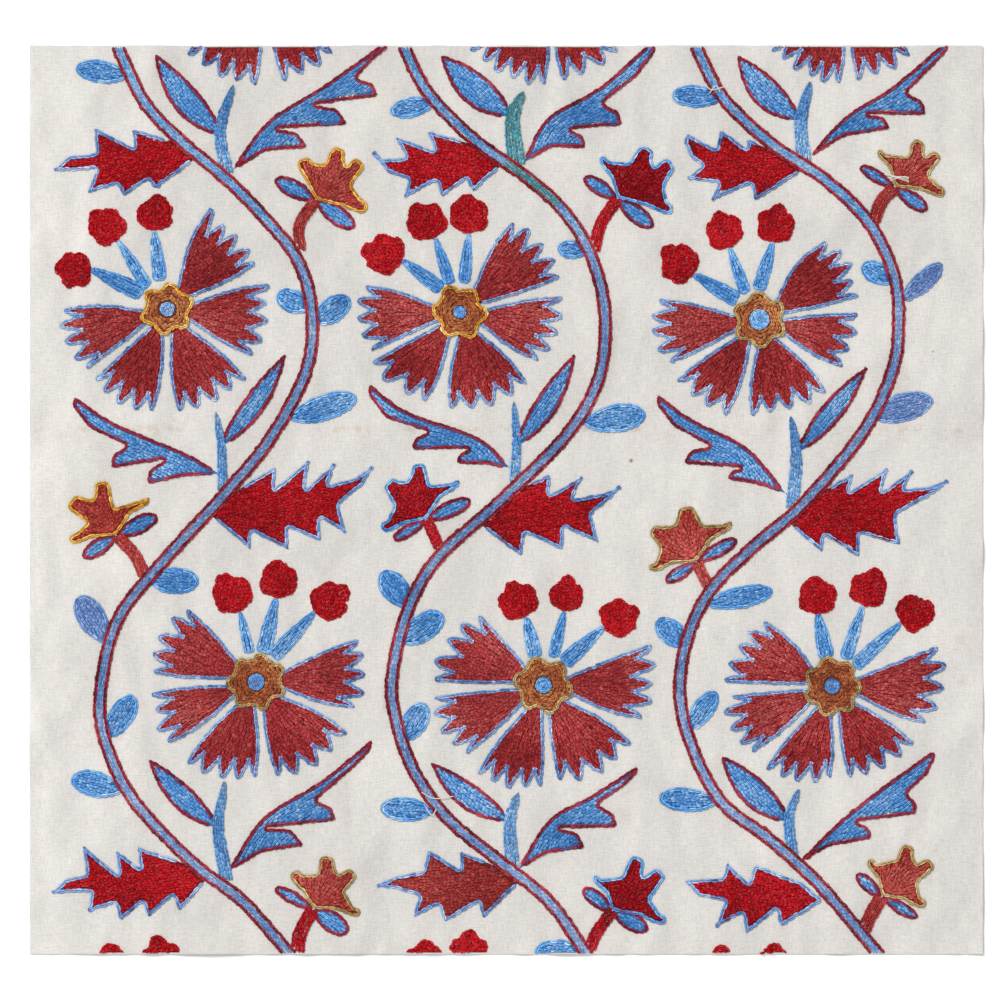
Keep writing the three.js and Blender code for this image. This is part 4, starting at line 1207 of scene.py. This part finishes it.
def sew_stem(work, part, dye):
    """A stem: rows side by side that draw together towards its tip."""
    stem = dense([part["foot"], part["middle"], part["end"]])
    along = np.linspace(0, 1, len(stem))
    taper = part["width"] * 1.12 * (1 - 0.45 * along**2 - 0.4 * along**14)
    rows = max(2, round(part["width"] / 1.2))
    for k in range(rows):
        path = beside(stem, ((k + 0.5) / rows - 0.5) * taper)
        for keep in runs(off_vines(path) > 3.3):
            work.row(path[keep], dye, taper[keep] / rows * 1.15, 2.1, 0.2, "fill", 0.14)


def sew_barbed(work, row):
    """A blue leaf with barbs on its underside and a red outline."""
    shape = barbed_outline(row)
    outline = rounded(shape, 1.6, 2.4)
    back = dense([row["foot"], *row["back"], row["tip"]])
    inward = 1 if area(shape) > 0 else -1
    work.bed(outline, "blue")
    work.fill(outline, [beside(back, inward * k * 1.35) for k in range(-1, 20)], "blue", 1.85, vine_gap=3.8)
    work.edge(outline, "edge_red", 0.05, 3.8, clear=(row["foot"], 5.0))


def sew_vine(index, material):
    """A vine: two red edge rows round its blue core, with the stems and leaves that grow from it."""
    work = Stitching(SEEDS["vine"] + index)
    line = dense(VINES[index]["line"])
    stems, ovals, lenses, barbed = (
        [row for row in rows if row["vine"] == index] for rows in (STEMS, OVALS, LENSES, BARBED)
    )
    for offset in VINE_EDGES:
        row = beside(line, offset)
        for part in runs(on_cloth(row)):
            work.row(row[part], "edge_red", 1.8, 2.5, 0.1, uneven=0.12)
    for offset in VINE_CORE:
        row = beside(line, offset)
        tinted = (index == TEAL_VINE) & (np.hypot(*(row - TEAL_PLACE).T) < TEAL_REACH)
        bright = (row[:, 1] > BRIGHT_ABOVE) & ~tinted
        for dye, kept in (("teal", tinted), ("blue", bright), ("vine_blue", ~tinted & ~bright)):
            for part in runs(on_cloth(row) & kept):
                work.row(row[part], dye, 1.2, 2.2, 0.1, "fill", uneven=0.12)
    for row in stems:
        sew_stem(work, row, "teal" if index == TEAL_VINE and row["foot"][1] > 100 else "blue")
    for row in ovals:
        near = min(math.dist(row["end"], spot) for spot in LILAC_OVALS)
        wide = {**row, "width": row["width"] + 1.2}
        sew_leaf(work, wide, "lilac" if near < 2 else "blue", None, None, 3.4)
    for row in lenses:
        wide = {**row, "width": row["width"] + 1.5}
        sew_leaf(work, wide, "blue", "edge_red", LENS_FULLNESS, 3.6, 5.0)
    for row in barbed:
        sew_barbed(work, row)
    work.finish(VINES[index]["name"], material)


def sew_petal(work, middle, row, dye, swell):
    """A petal: rows that spread from its root inside a blue outline that is thicker between its teeth."""
    shape, valleys = petal_outline(middle, row, swell, work.random)
    outline = rounded(shape, 0.8, 0.9)
    first, last = row["first"] - 9, row["last"] + 9
    lines, widths = fan_rows(middle, first, last, ROSETTE_RADIUS - 1, max(row["tips"]), work.random)
    work.bed(outline, dye)
    work.fill(outline, lines, dye, 1.3, widths=widths, length=1.75, uneven=0.2)
    clear = (middle, ROSETTE_RADIUS + 0.4)
    work.edge(outline, "rim_blue", 0.15, width=1.7, length=2.2, clear=clear, uneven=0.14)
    for ends in valleys:
        line = evenly(np.array(ends))
        if on_cloth(line).all():
            work.row(line, "rim_blue", 2.4, 1.2, 0.1, uneven=0.1)


def sew_bud(work, middle, size, up=90.0):
    """A red bud: closed rows, one inside the other; a knob at its far end and bumps round it."""
    angle = np.linspace(0, 2 * np.pi, 96, endpoint=False)
    reach = np.full(len(angle), BUD_BASE * size)
    for turn, rise, wide in BUD_BUMPS:
        turn += work.random.uniform(-12, 12)
        off = (np.degrees(angle) - up - turn + 180) % 360 - 180
        reach += size * rise * work.random.uniform(0.75, 1.2) * np.exp(-(np.abs(off / wide) ** 3))
    reach += size * 0.012 * np.sin(17 * angle + work.random.uniform(0, 6))
    outline = polar(middle, angle, reach)
    work.bed(outline, "scarlet")
    for ring in ring_rows(outline, middle, 0.7, 1.3):
        for part in runs(on_cloth(ring)):
            work.row(ring[part], "scarlet", 1.45, 1.9, 0.0, "fill", 0.2)


def sew_stamen(work, middle, row):
    """A blue stamen, widest near the rosette, and the red bud at its end."""
    root = np.array(row["root"], float) - middle
    rim = np.array(middle) + root / np.hypot(*root) * PETAL_ROOT
    tip = np.array(row["bud"], float)
    down = np.array(row["end"], float) - tip
    start = tip + down / np.hypot(*down) * (BUD_BASE * row["size"] - 0.3)
    line = dense([start, (start * 0.6 + rim * 0.4), rim + (rim - middle) * 0.06])
    t = np.linspace(0, 1, len(line))
    half = 0.64 * row["width"] * (0.34 + 0.66 * np.sin(np.pi / 2 * np.minimum(t / 0.74, 1)))
    half *= np.sqrt(np.maximum(0.3, 1 - (np.maximum(t - 0.93, 0) / 0.07) ** 2))
    blade = np.vstack([beside(line, half), beside(line, -half)[::-1]])[::2]
    work.bed(blade, "blue")
    work.fill(blade, lengthwise_rows(line, row["width"]), "blue", 1.5)
    work.edge(blade, "blue", 0.05, width=1.5, length=2.6)
    sew_bud(work, tip, row["size"], math.degrees(math.atan2(-down[1], -down[0])))


def sew_head(index, material):
    """A carnation head: five petals, and three blue stamens with red buds."""
    work = Stitching(SEEDS["carnation"] + index)
    head = HEADS[index]
    petals = table(PETAL_FIELDS, *head["petals"])
    for row, swell in zip(petals, petal_swells(petals, head["open"])):
        low = math.sin(math.radians((row["first"] + row["last"]) / 2)) < LOW_PETAL
        dye = "deep_crimson" if low or row["first"] in DEEP_PETALS else "crimson"
        sew_petal(work, head["middle"], row, dye, swell)
    for row in table(STAMEN_FIELDS, *head["stamens"]):
        sew_stamen(work, head["middle"], row)
    work.finish(f"carnation_{index + 1}", material)


def sew_rosette(index, material):
    """A rosette: a brown lobed disc with a light outline and a small round blue ring."""
    work = Stitching(SEEDS["rosette"] + index)
    middle = HEADS[index]["middle"]
    size = ROSETTE_SIZES[index]
    lobes = 7 if index in SEVEN_LOBED else 6
    outline = lobed_outline(middle, size, lobes, 1.4, math.radians(37 * index + 20))
    work.bed(outline, "brown", 0.75)
    rim, *inner = ring_rows(outline, middle, 0.85, RING_PITCH)
    work.row(rim, ROSETTE_EDGES[index], 1.8, 2.1, 0.65, uneven=0.2)
    ring_radius = RING_RADII[index]
    for ring in inner:
        radius = np.hypot(*(ring - middle).T).mean()
        if radius > ring_radius + 1.2:
            blend = (radius - ring_radius) / (size - ring_radius)
            turn = np.arctan2(*(ring - middle).T[::-1])
            line = ring * blend + polar(middle, turn, np.full(len(turn), radius)) * (1 - blend)
            work.row(line, "brown", 1.5, 1.8, 0.6, "fill", 0.24)
    for radius in np.linspace(ring_radius, 0.55, round((ring_radius - 0.55) / 1.15) + 1):
        disc = lobed_outline(middle, radius, 1, 0.0, points=40)
        dye = "rim_blue" if radius < ring_radius - 1 and index in PALE_MIDDLES else "blue"
        work.row(closed(disc), dye, 1.5, 1.9, 0.7, uneven=0.1)
    work.finish(f"rosette_{index + 1}", material)


def sew_serrated(index, material):
    """A red leaf with teeth on both sides and a blue outline."""
    work = Stitching(SEEDS["serrated"] + index)
    row = SERRATED[index]
    dye = "rust" if index == RUST_LEAF else "scarlet"
    root, tip = np.mean(row["roots"], 0), np.array(row["tip"], float)
    way = (tip - root) / np.hypot(*(tip - root))
    shape = serrated_outline(row)
    shape[[0, -1]] -= way * 3.5
    outline = rounded(shape, 0.8, 1.6)
    axis = evenly(np.array([root - way * 8, tip + way * 2]))
    work.bed(outline, dye)
    work.fill(outline, lengthwise_rows(axis, 28), dye, 1.9, vine_gap=3.4)
    work.edge(outline, "rim_blue", 0.05, 4.7, uneven=0.14)
    work.finish(f"serrated_leaf_{index + 1}", material)


def sew_side_flower(index, material):
    """A side flower of rounded lobes on a stem, with two small leaves."""
    work = Stitching(SEEDS["side"] + index)
    row = SIDE_FLOWERS[index]
    dye, edge = SIDE_DYES[index]
    for end, width in row["leaves"]:
        leaf = {"foot": row["neck"], "end": end, "width": width}
        sew_leaf(work, leaf, "blue", "edge_red", None, 3.8)
    outline = rounded(flower_outline(row), 2.2, 1.2)
    neck = np.array(row["neck"], float)
    turns = [math.degrees(math.atan2(p[1] - neck[1], p[0] - neck[0])) for p in row["lobes"]]
    turns = np.degrees(np.unwrap(np.radians(turns)))
    reach = max(math.hypot(p[0] - neck[0], p[1] - neck[1]) for p in row["lobes"])
    lines, widths = fan_rows(neck, turns.min() - 16, turns.max() + 16, 2.5, reach + 1, work.random)
    work.bed(outline, dye)
    work.fill(outline, lines, dye, 1.9, 0.1, widths=widths)
    work.edge(outline, edge, 0.15, 3.8, width=1.75)
    stem = dense([row["neck"], row["bend"], row["foot"]])
    stem_dye = "deep_scarlet" if index in BRIGHT_STEMS else "rust"
    rows = max(2, round(row["stem"] / 1.7))
    for k in range(rows):
        path = beside(stem, ((k + 0.5) / rows - 0.5) * row["stem"] * 1.1)
        for part in runs((off_vines(path) > 3.6) & on_cloth(path)):
            work.row(path[part], stem_dye, row["stem"] / rows * 1.2, 2.5, 0.2)
    work.finish(f"side_flower_{index + 1}", material)


def sew_cut_petal(index, material):
    """What the top edge leaves of a petal."""
    work = Stitching(SEEDS["cut_petal"] + index)
    row = CUT_PETALS[index]
    tips = [row["reach"] + 0.5 * (-1) ** k for k in range(row["teeth"])]
    sew_petal(work, row["middle"], {**row, "tips": tips}, "deep_crimson", (3.5, 3.5))
    work.finish(f"cut_petal_{index + 1}", material)


def sew_cut_bud(index, material):
    """What the bottom edge leaves of a bud."""
    work = Stitching(SEEDS["cut_bud"] + index)
    sew_bud(work, CUT_BUDS[index]["middle"], CUT_BUDS[index]["size"] * 1.08)
    work.finish(f"cut_bud_{index + 1}", material)


def node(tree, kind, inputs=(), **settings):
    """A node of a kind with its settings, fed by values or by other nodes' sockets."""
    made = tree.nodes.new(kind)
    for key, value in settings.items():
        setattr(made, key, value)
    for key, value in dict(inputs).items():
        if isinstance(value, bpy.types.NodeSocket):
            tree.links.new(value, made.inputs[key])
        else:
            made.inputs[key].default_value = value
    return made


def group(name, inputs, outputs):
    """An empty shader node group with named sockets."""
    tree = bpy.data.node_groups.new(name, "ShaderNodeTree")
    for label, kind in inputs:
        tree.interface.new_socket(name=label, in_out="INPUT", socket_type=kind)
    for label, kind in outputs:
        tree.interface.new_socket(name=label, in_out="OUTPUT", socket_type=kind)
    return tree, tree.nodes.new("NodeGroupInput"), tree.nodes.new("NodeGroupOutput")


def ramp(tree, value, low, high, bottom, top, **settings):
    """A value carried from the span low to high over to the span bottom to top."""
    fed = {"Value": value, "From Min": low, "From Max": high, "To Min": bottom, "To Max": top}
    return node(tree, "ShaderNodeMapRange", fed, **settings).outputs[0]


def sums(tree, operation, *values):
    """A sum of one to three numbers or sockets."""
    return node(tree, "ShaderNodeMath", dict(enumerate(values)), operation=operation).outputs[0]


def scaled(tree, vector, by):
    """A vector or colour multiplied by another, or by one number."""
    return node(tree, "ShaderNodeVectorMath", {0: vector, 1: by}, operation="MULTIPLY").outputs[0]


def noise(tree, place, scale, detail, distortion=0.0):
    """Soft noise over a place."""
    fed = {"Vector": place, "Scale": scale, "Detail": detail, "Distortion": distortion}
    return node(tree, "ShaderNodeTexNoise", fed).outputs["Fac"]


def new_material(name):
    """A new material with its node tree and its shader."""
    made = bpy.data.materials.new(name)
    made.use_nodes = True
    return made, made.node_tree, made.node_tree.nodes["Principled BSDF"]


def thread_group():
    """Fine twist of a silk thread: a shade, a height over the surface and pale spots of painted highlight
    here and there.
    """
    tree, start, end = group(
        "thread_twist_and_painted_highlight",
        [("Place", "NodeSocketVector"), ("Twist", "NodeSocketFloat")],
        [("Shade", "NodeSocketFloat"), ("Height", "NodeSocketFloat"), ("Painted highlight", "NodeSocketFloat")],
    )
    place, twist = start.outputs["Place"], start.outputs["Twist"]
    fine = noise(tree, place, 1500.0, 2.0)
    both = sums(tree, "ADD", fine, noise(tree, place, 420.0, 1.0))
    spread = sums(tree, "MULTIPLY_ADD", both, twist, 1.0)
    # Painted highlight: pale spots at the peaks of a fine noise.
    painted_highlight = ramp(tree, noise(tree, place, 1150.0, 1.0), 0.57, 0.78, 0.0, 0.2)
    tree.links.new(sums(tree, "SUBTRACT", spread, twist), end.inputs["Shade"])
    tree.links.new(fine, end.inputs["Height"])
    tree.links.new(painted_highlight, end.inputs["Painted highlight"])


def silk(name, twist, roughness):
    """Dyed silk: the thread's colour, which carries painted shading of the loops, with its fine twist,
    spots of painted highlight and a soft sheen.
    """
    made, tree, shader = new_material(name)
    place = node(tree, "ShaderNodeTexCoord").outputs["Object"]
    dye = node(tree, "ShaderNodeAttribute", attribute_name="thread").outputs["Color"]
    twisted = bpy.data.node_groups["thread_twist_and_painted_highlight"]
    fibre = node(tree, "ShaderNodeGroup", node_tree=twisted)
    tree.links.new(place, fibre.inputs["Place"])
    fibre.inputs["Twist"].default_value = twist
    colour = scaled(tree, dye, fibre.outputs["Shade"])
    # Painted highlight: a pale colour laid over the thread's colour in small spots.
    lit = mixed(tree, colour, fibre.outputs["Painted highlight"], (0.62, 0.52, 0.54, 1.0))
    fed = {"Height": fibre.outputs["Height"], "Strength": 0.35, "Distance": 0.0002}
    tree.links.new(lit, shader.inputs["Base Color"])
    tree.links.new(node(tree, "ShaderNodeBump", fed).outputs["Normal"], shader.inputs["Normal"])
    shader.inputs["Roughness"].default_value = roughness
    shader.inputs["Specular IOR Level"].default_value = 0.08
    return made


def weave_group():
    """Plain weave: a shade and a height from two sets of crossing threads with their slubs."""
    tree, start, end = group(
        "plain_weave",
        [("Place", "NodeSocketVector")],
        [("Shade", "NodeSocketFloat"), ("Height", "NodeSocketFloat")],
    )
    place = start.outputs["Place"]
    threads = {"Vector": place, "Scale": 560.0, "Distortion": 3.0}
    sets = [node(tree, "ShaderNodeTexWave", threads, bands_direction=way).outputs["Fac"] for way in "XY"]
    total = sums(tree, "MULTIPLY", *sets)
    for stretch in ((220.0, 1700.0, 1.0), (1700.0, 220.0, 1.0), (1300.0, 1300.0, 1.0)):
        turned = node(tree, "ShaderNodeMapping", {"Vector": place, "Scale": stretch})
        total = sums(tree, "ADD", total, noise(tree, turned.outputs[0], 1.0, 1.0))
    tree.links.new(ramp(tree, total, 1.2, 2.3, 0.79, 1.11), end.inputs["Shade"])
    tree.links.new(total, end.inputs["Height"])


def spot_group():
    """A soft round mark at a place: 1 at its middle and 0 past its reach."""
    tree, start, end = group(
        "soft_mark",
        [("Place", "NodeSocketVector"), ("Middle", "NodeSocketVector"), ("Reach", "NodeSocketFloat")],
        [("Mask", "NodeSocketFloat")],
    )
    ends = {0: start.outputs["Place"], 1: start.outputs["Middle"]}
    far = node(tree, "ShaderNodeVectorMath", ends, operation="DISTANCE").outputs["Value"]
    mask = ramp(tree, far, 0.0, start.outputs["Reach"], 1.0, 0.0, interpolation_type="SMOOTHSTEP")
    tree.links.new(mask, end.inputs["Mask"])


# Where an old fold left a soiled line across the cloth.
FOLD_HEIGHT = 33

# Marks on the cloth: the place, the reach, the colour and how strong it is.
MARKS = table(
    "at reach colour strength",
    ((59, 18.5), 1.5, "5a4a40", 0.85),
    ((201.5, 70), 0.9, "6a5a50", 0.7),
    ((56, -149), 7.0, "c9b9a0", 0.3),
    ((214, -66), 4.0, "b9a98f", 0.35),
    ((215, -86), 3.5, "b9a98f", 0.3),
    ((-60, 190), 9.0, "d8cbb2", 0.25),
    ((-172, -97), 5.0, "d8b9b0", 0.2),
)


def cotton(colour):
    """Undyed cotton in plain weave, with flecks, faint marks, a slow random drift of tone, painted shading
    of soft puckers and painted light that brightens it towards its left edge.
    """
    made, tree, shader = new_material("cotton_weave")
    place = node(tree, "ShaderNodeTexCoord").outputs["Object"]
    flat = scaled(tree, place, (1.0, 1.0, 0.0))
    weave = node(tree, "ShaderNodeGroup", node_tree=bpy.data.node_groups["plain_weave"])
    tree.links.new(flat, weave.inputs["Place"])
    split = node(tree, "ShaderNodeSeparateXYZ", {"Vector": place})
    # Painted light: the cotton is brighter towards its left edge.
    drift = ramp(tree, split.outputs["X"], -0.225, -0.16, 1.1, 0.99)
    cloud = ramp(tree, noise(tree, flat, 22.0, 3.0), 0.3, 0.7, 0.975, 1.015)
    # Painted shading of soft puckers: stretched streaks a little darker and lighter than the cotton.
    pucker_shading_noise = noise(tree, scaled(tree, flat, (62.0, 19.0, 1.0)), 1.0, 2.0, 0.7)
    painted_pucker_shading = ramp(tree, pucker_shading_noise, 0.32, 0.68, 0.935, 1.05)
    tone = weave.outputs["Shade"]
    for part in (drift, cloud, painted_pucker_shading):
        tone = sums(tree, "MULTIPLY", tone, part)
    base = scaled(tree, (*colour,), tone)
    fleck = node(tree, "ShaderNodeTexVoronoi", {"Vector": flat, "Scale": 130.0, "Randomness": 1.0})
    near = ramp(tree, fleck.outputs["Distance"], 0.03, 0.055, 0.45, 0.0)
    base = mixed(tree, base, near, (0.36, 0.27, 0.19, 1.0))
    off = sums(tree, "ABSOLUTE", sums(tree, "SUBTRACT", split.outputs["Y"], FOLD_HEIGHT * MM))
    band = ramp(tree, off, 0.0004, 0.0034, 1.0, 0.0)
    dash = ramp(tree, noise(tree, flat, 190.0, 2.0), 0.5, 0.72, 0.0, 0.4)
    base = mixed(tree, base, sums(tree, "MULTIPLY", band, dash), (*linear("b0946c"), 1.0))
    for mark in MARKS:
        spot = node(tree, "ShaderNodeGroup", node_tree=bpy.data.node_groups["soft_mark"])
        tree.links.new(flat, spot.inputs["Place"])
        spot.inputs["Middle"].default_value = (mark["at"][0] * MM, mark["at"][1] * MM, 0.0)
        spot.inputs["Reach"].default_value = mark["reach"] * MM
        part = sums(tree, "MULTIPLY", spot.outputs["Mask"], mark["strength"])
        base = mixed(tree, base, part, (*linear(mark["colour"]), 1.0))
    fed = {"Height": weave.outputs["Height"], "Strength": 0.5, "Distance": 0.00012}
    tree.links.new(base, shader.inputs["Base Color"])
    tree.links.new(node(tree, "ShaderNodeBump", fed).outputs["Normal"], shader.inputs["Normal"])
    shader.inputs["Roughness"].default_value = 0.95
    shader.inputs["Specular IOR Level"].default_value = 0.2
    return made


def mixed(tree, base, part, colour):
    """A colour laid over a base by a mask."""
    mix = node(tree, "ShaderNodeMix", data_type="RGBA")
    tree.links.new(part, mix.inputs[0])
    tree.links.new(base, mix.inputs[6])
    mix.inputs[7].default_value = colour
    return mix.outputs[2]


def places(mesh):
    """Where a mesh's points are."""
    spots = np.empty(len(mesh.vertices) * 3)
    mesh.vertices.foreach_get("co", spots)
    return spots.reshape(-1, 3)


def move_points(mesh, spots):
    """Puts a mesh's points at new places."""
    mesh.vertices.foreach_set("co", np.ravel(spots))
    mesh.update()


def make_cloth(material):
    """The cotton: a thin sheet that lies on the floor, with its creases and soft unevenness."""
    cloth = bpy.context.scene.panel_cloth
    cells = round(cloth.width / cloth.grid), round(cloth.height / cloth.grid)
    bpy.ops.object.select_all(action="DESELECT")
    bpy.ops.mesh.primitive_grid_add(x_subdivisions=cells[0], y_subdivisions=cells[1], size=1)
    sheet = bpy.context.object
    sheet.name = sheet.data.name = "cotton_sheet"
    unit = places(sheet.data)
    x, y = unit[:, 0] * cloth.width / MM, unit[:, 1] * cloth.height / MM
    pull = EDGE_PULL * (1 + np.sin(x / 3.1 + y / 2.3) * np.cos(x / 7.7 - y / 5.9))
    x, y = (v - np.sign(v) * pull * (np.abs(unit[:, k]) > RIM) for k, v in enumerate((x, y)))
    move_points(sheet.data, np.column_stack([x, y, cloth_top(x, y)]) * MM)
    thick = sheet.modifiers.new("thickness", "SOLIDIFY")
    thick.thickness = cloth.thickness * UNDER_SHARE
    thick.offset = -1
    bpy.ops.object.modifier_apply(modifier=thick.name)
    done = places(sheet.data)
    done[:, 2] = np.maximum(done[:, 2], 0.0)
    move_points(sheet.data, done)
    bpy.ops.object.shade_smooth_by_angle(angle=math.radians(50))
    sheet.data.materials.append(material)
    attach(sheet, "root")
    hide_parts("ground_cloth")


def make_stage():
    """A plain pale floor, soft light from all round, one large lamp and the camera."""
    stage = bpy.context.scene.panel_stage
    bpy.ops.object.select_all(action="DESELECT")
    bpy.ops.mesh.primitive_plane_add(size=6)
    floor = bpy.context.object
    floor.name = "floor"
    pale, tree, shader = new_material("pale_floor")
    place = node(tree, "ShaderNodeTexCoord").outputs["Object"]
    tone = ramp(tree, noise(tree, place, 40.0, 2.0), 0.0, 1.0, 0.995, 1.0)
    tree.links.new(scaled(tree, (*stage.floor,), tone), shader.inputs["Base Color"])
    shader.inputs["Roughness"].default_value = 1.0
    floor.data.materials.append(pale)
    world = bpy.data.worlds.new("even_light")
    world.use_nodes = True
    glow = world.node_tree.nodes["Background"]
    glow.inputs["Color"].default_value = (1.0, 1.0, 1.0, 1.0)
    glow.inputs["Strength"].default_value = stage.sky
    bpy.context.scene.world = world
    bpy.ops.object.light_add(type="SUN", location=(-0.9, 1.1, 1.5))
    lamp = bpy.context.object
    lamp.name = "key_lamp"
    lamp.data.angle = math.radians(18)
    lamp.data.energy = stage.key
    lamp.rotation_euler = (-lamp.location).to_track_quat("-Z", "Y").to_euler()
    height = FRAME_SPAN * MM * stage.lens / SENSOR_WIDTH
    bpy.ops.object.camera_add(location=(CAMERA_MIDDLE[0] * MM, CAMERA_MIDDLE[1] * MM, height))
    camera = bpy.context.object
    camera.name = "camera_above"
    camera.data.lens = stage.lens
    camera.data.sensor_width = SENSOR_WIDTH
    camera.data.clip_end = 50
    bpy.context.scene.camera = camera
    bpy.context.scene.view_settings.view_transform = "Standard"


class PANEL_OT_stage(bpy.types.Operator):
    """Make the floor, the light and the camera"""

    bl_idname = "panel.stage"
    bl_label = "Stage"

    def execute(self, context):
        make_stage()
        return {"FINISHED"}


class PANEL_OT_cloth(bpy.types.Operator):
    """Make the cotton sheet with its weave and creases"""

    bl_idname = "panel.cloth"
    bl_label = "Cloth"

    def execute(self, context):
        weave_group()
        spot_group()
        make_cloth(cotton(context.scene.panel_cloth.colour))
        return {"FINISHED"}


class PANEL_OT_vines(bpy.types.Operator):
    """Stitch the three vines with their stems and blue leaves"""

    bl_idname = "panel.vines"
    bl_label = "Vines"

    def execute(self, context):
        thread_group()
        thread = silk("silk_blue_thread", 0.22, 0.55)
        for index in range(len(VINES)):
            sew_vine(index, thread)
        return {"FINISHED"}


class PANEL_OT_carnations(bpy.types.Operator):
    """Stitch the carnation heads with their stamens and buds"""

    bl_idname = "panel.carnations"
    bl_label = "Carnations"

    def execute(self, context):
        thread = silk("silk_crimson_thread", 0.24, 0.6)
        for index in range(len(HEADS)):
            sew_head(index, thread)
        for index in range(len(CUT_PETALS)):
            sew_cut_petal(index, thread)
        return {"FINISHED"}


class PANEL_OT_rosettes(bpy.types.Operator):
    """Stitch the small rosette at the middle of each carnation"""

    bl_idname = "panel.rosettes"
    bl_label = "Rosettes"

    def execute(self, context):
        thread = silk("silk_brown_thread", 0.26, 0.55)
        for index in range(len(HEADS)):
            sew_rosette(index, thread)
        return {"FINISHED"}


class PANEL_OT_serrated_leaves(bpy.types.Operator):
    """Stitch the serrated red leaves and the buds at the bottom edge"""

    bl_idname = "panel.serrated_leaves"
    bl_label = "Serrated leaves"

    def execute(self, context):
        thread = silk("silk_scarlet_thread", 0.22, 0.6)
        for index in range(len(SERRATED)):
            sew_serrated(index, thread)
        for index in range(len(CUT_BUDS)):
            sew_cut_bud(index, thread)
        return {"FINISHED"}


class PANEL_OT_side_flowers(bpy.types.Operator):
    """Stitch the side flowers with their stems and small leaves"""

    bl_idname = "panel.side_flowers"
    bl_label = "Side flowers"

    def execute(self, context):
        thread = silk("silk_madder_thread", 0.26, 0.6)
        for index in range(len(SIDE_FLOWERS)):
            sew_side_flower(index, thread)
        return {"FINISHED"}


OPERATORS = (
    PANEL_OT_stage,
    PANEL_OT_cloth,
    PANEL_OT_vines,
    PANEL_OT_carnations,
    PANEL_OT_rosettes,
    PANEL_OT_serrated_leaves,
    PANEL_OT_side_flowers,
)


class PANEL_PT_sidebar(bpy.types.Panel):
    """The sizes, colours and pieces of the embroidered panel"""

    bl_idname = "PANEL_PT_sidebar"
    bl_label = "Embroidered panel"
    bl_space_type = "VIEW_3D"
    bl_region_type = "UI"
    bl_category = "Panel"

    def draw(self, context):
        for values in (context.scene.panel_cloth, context.scene.panel_stitch, context.scene.panel_stage):
            for name in values.__annotations__:
                self.layout.prop(values, name)
        for kind in OPERATORS:
            self.layout.operator(kind.bl_idname)


CLASSES = (PanelCloth, PanelStitch, PanelStage, *OPERATORS, PANEL_PT_sidebar)


def register():
    for kind in CLASSES:
        bpy.utils.register_class(kind)
    bpy.types.Scene.panel_cloth = bpy.props.PointerProperty(type=PanelCloth)
    bpy.types.Scene.panel_stitch = bpy.props.PointerProperty(type=PanelStitch)
    bpy.types.Scene.panel_stage = bpy.props.PointerProperty(type=PanelStage)


def unregister():
    del bpy.types.Scene.panel_stage
    del bpy.types.Scene.panel_stitch
    del bpy.types.Scene.panel_cloth
    for kind in reversed(CLASSES):
        bpy.utils.unregister_class(kind)


def main():
    """Makes every piece in order."""
    register()
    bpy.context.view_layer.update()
    bpy.ops.panel.stage()
    bpy.ops.panel.cloth()
    bpy.ops.panel.vines()
    bpy.ops.panel.carnations()
    bpy.ops.panel.rosettes()
    bpy.ops.panel.serrated_leaves()
    bpy.ops.panel.side_flowers()


if __name__ == "__main__":
    main()
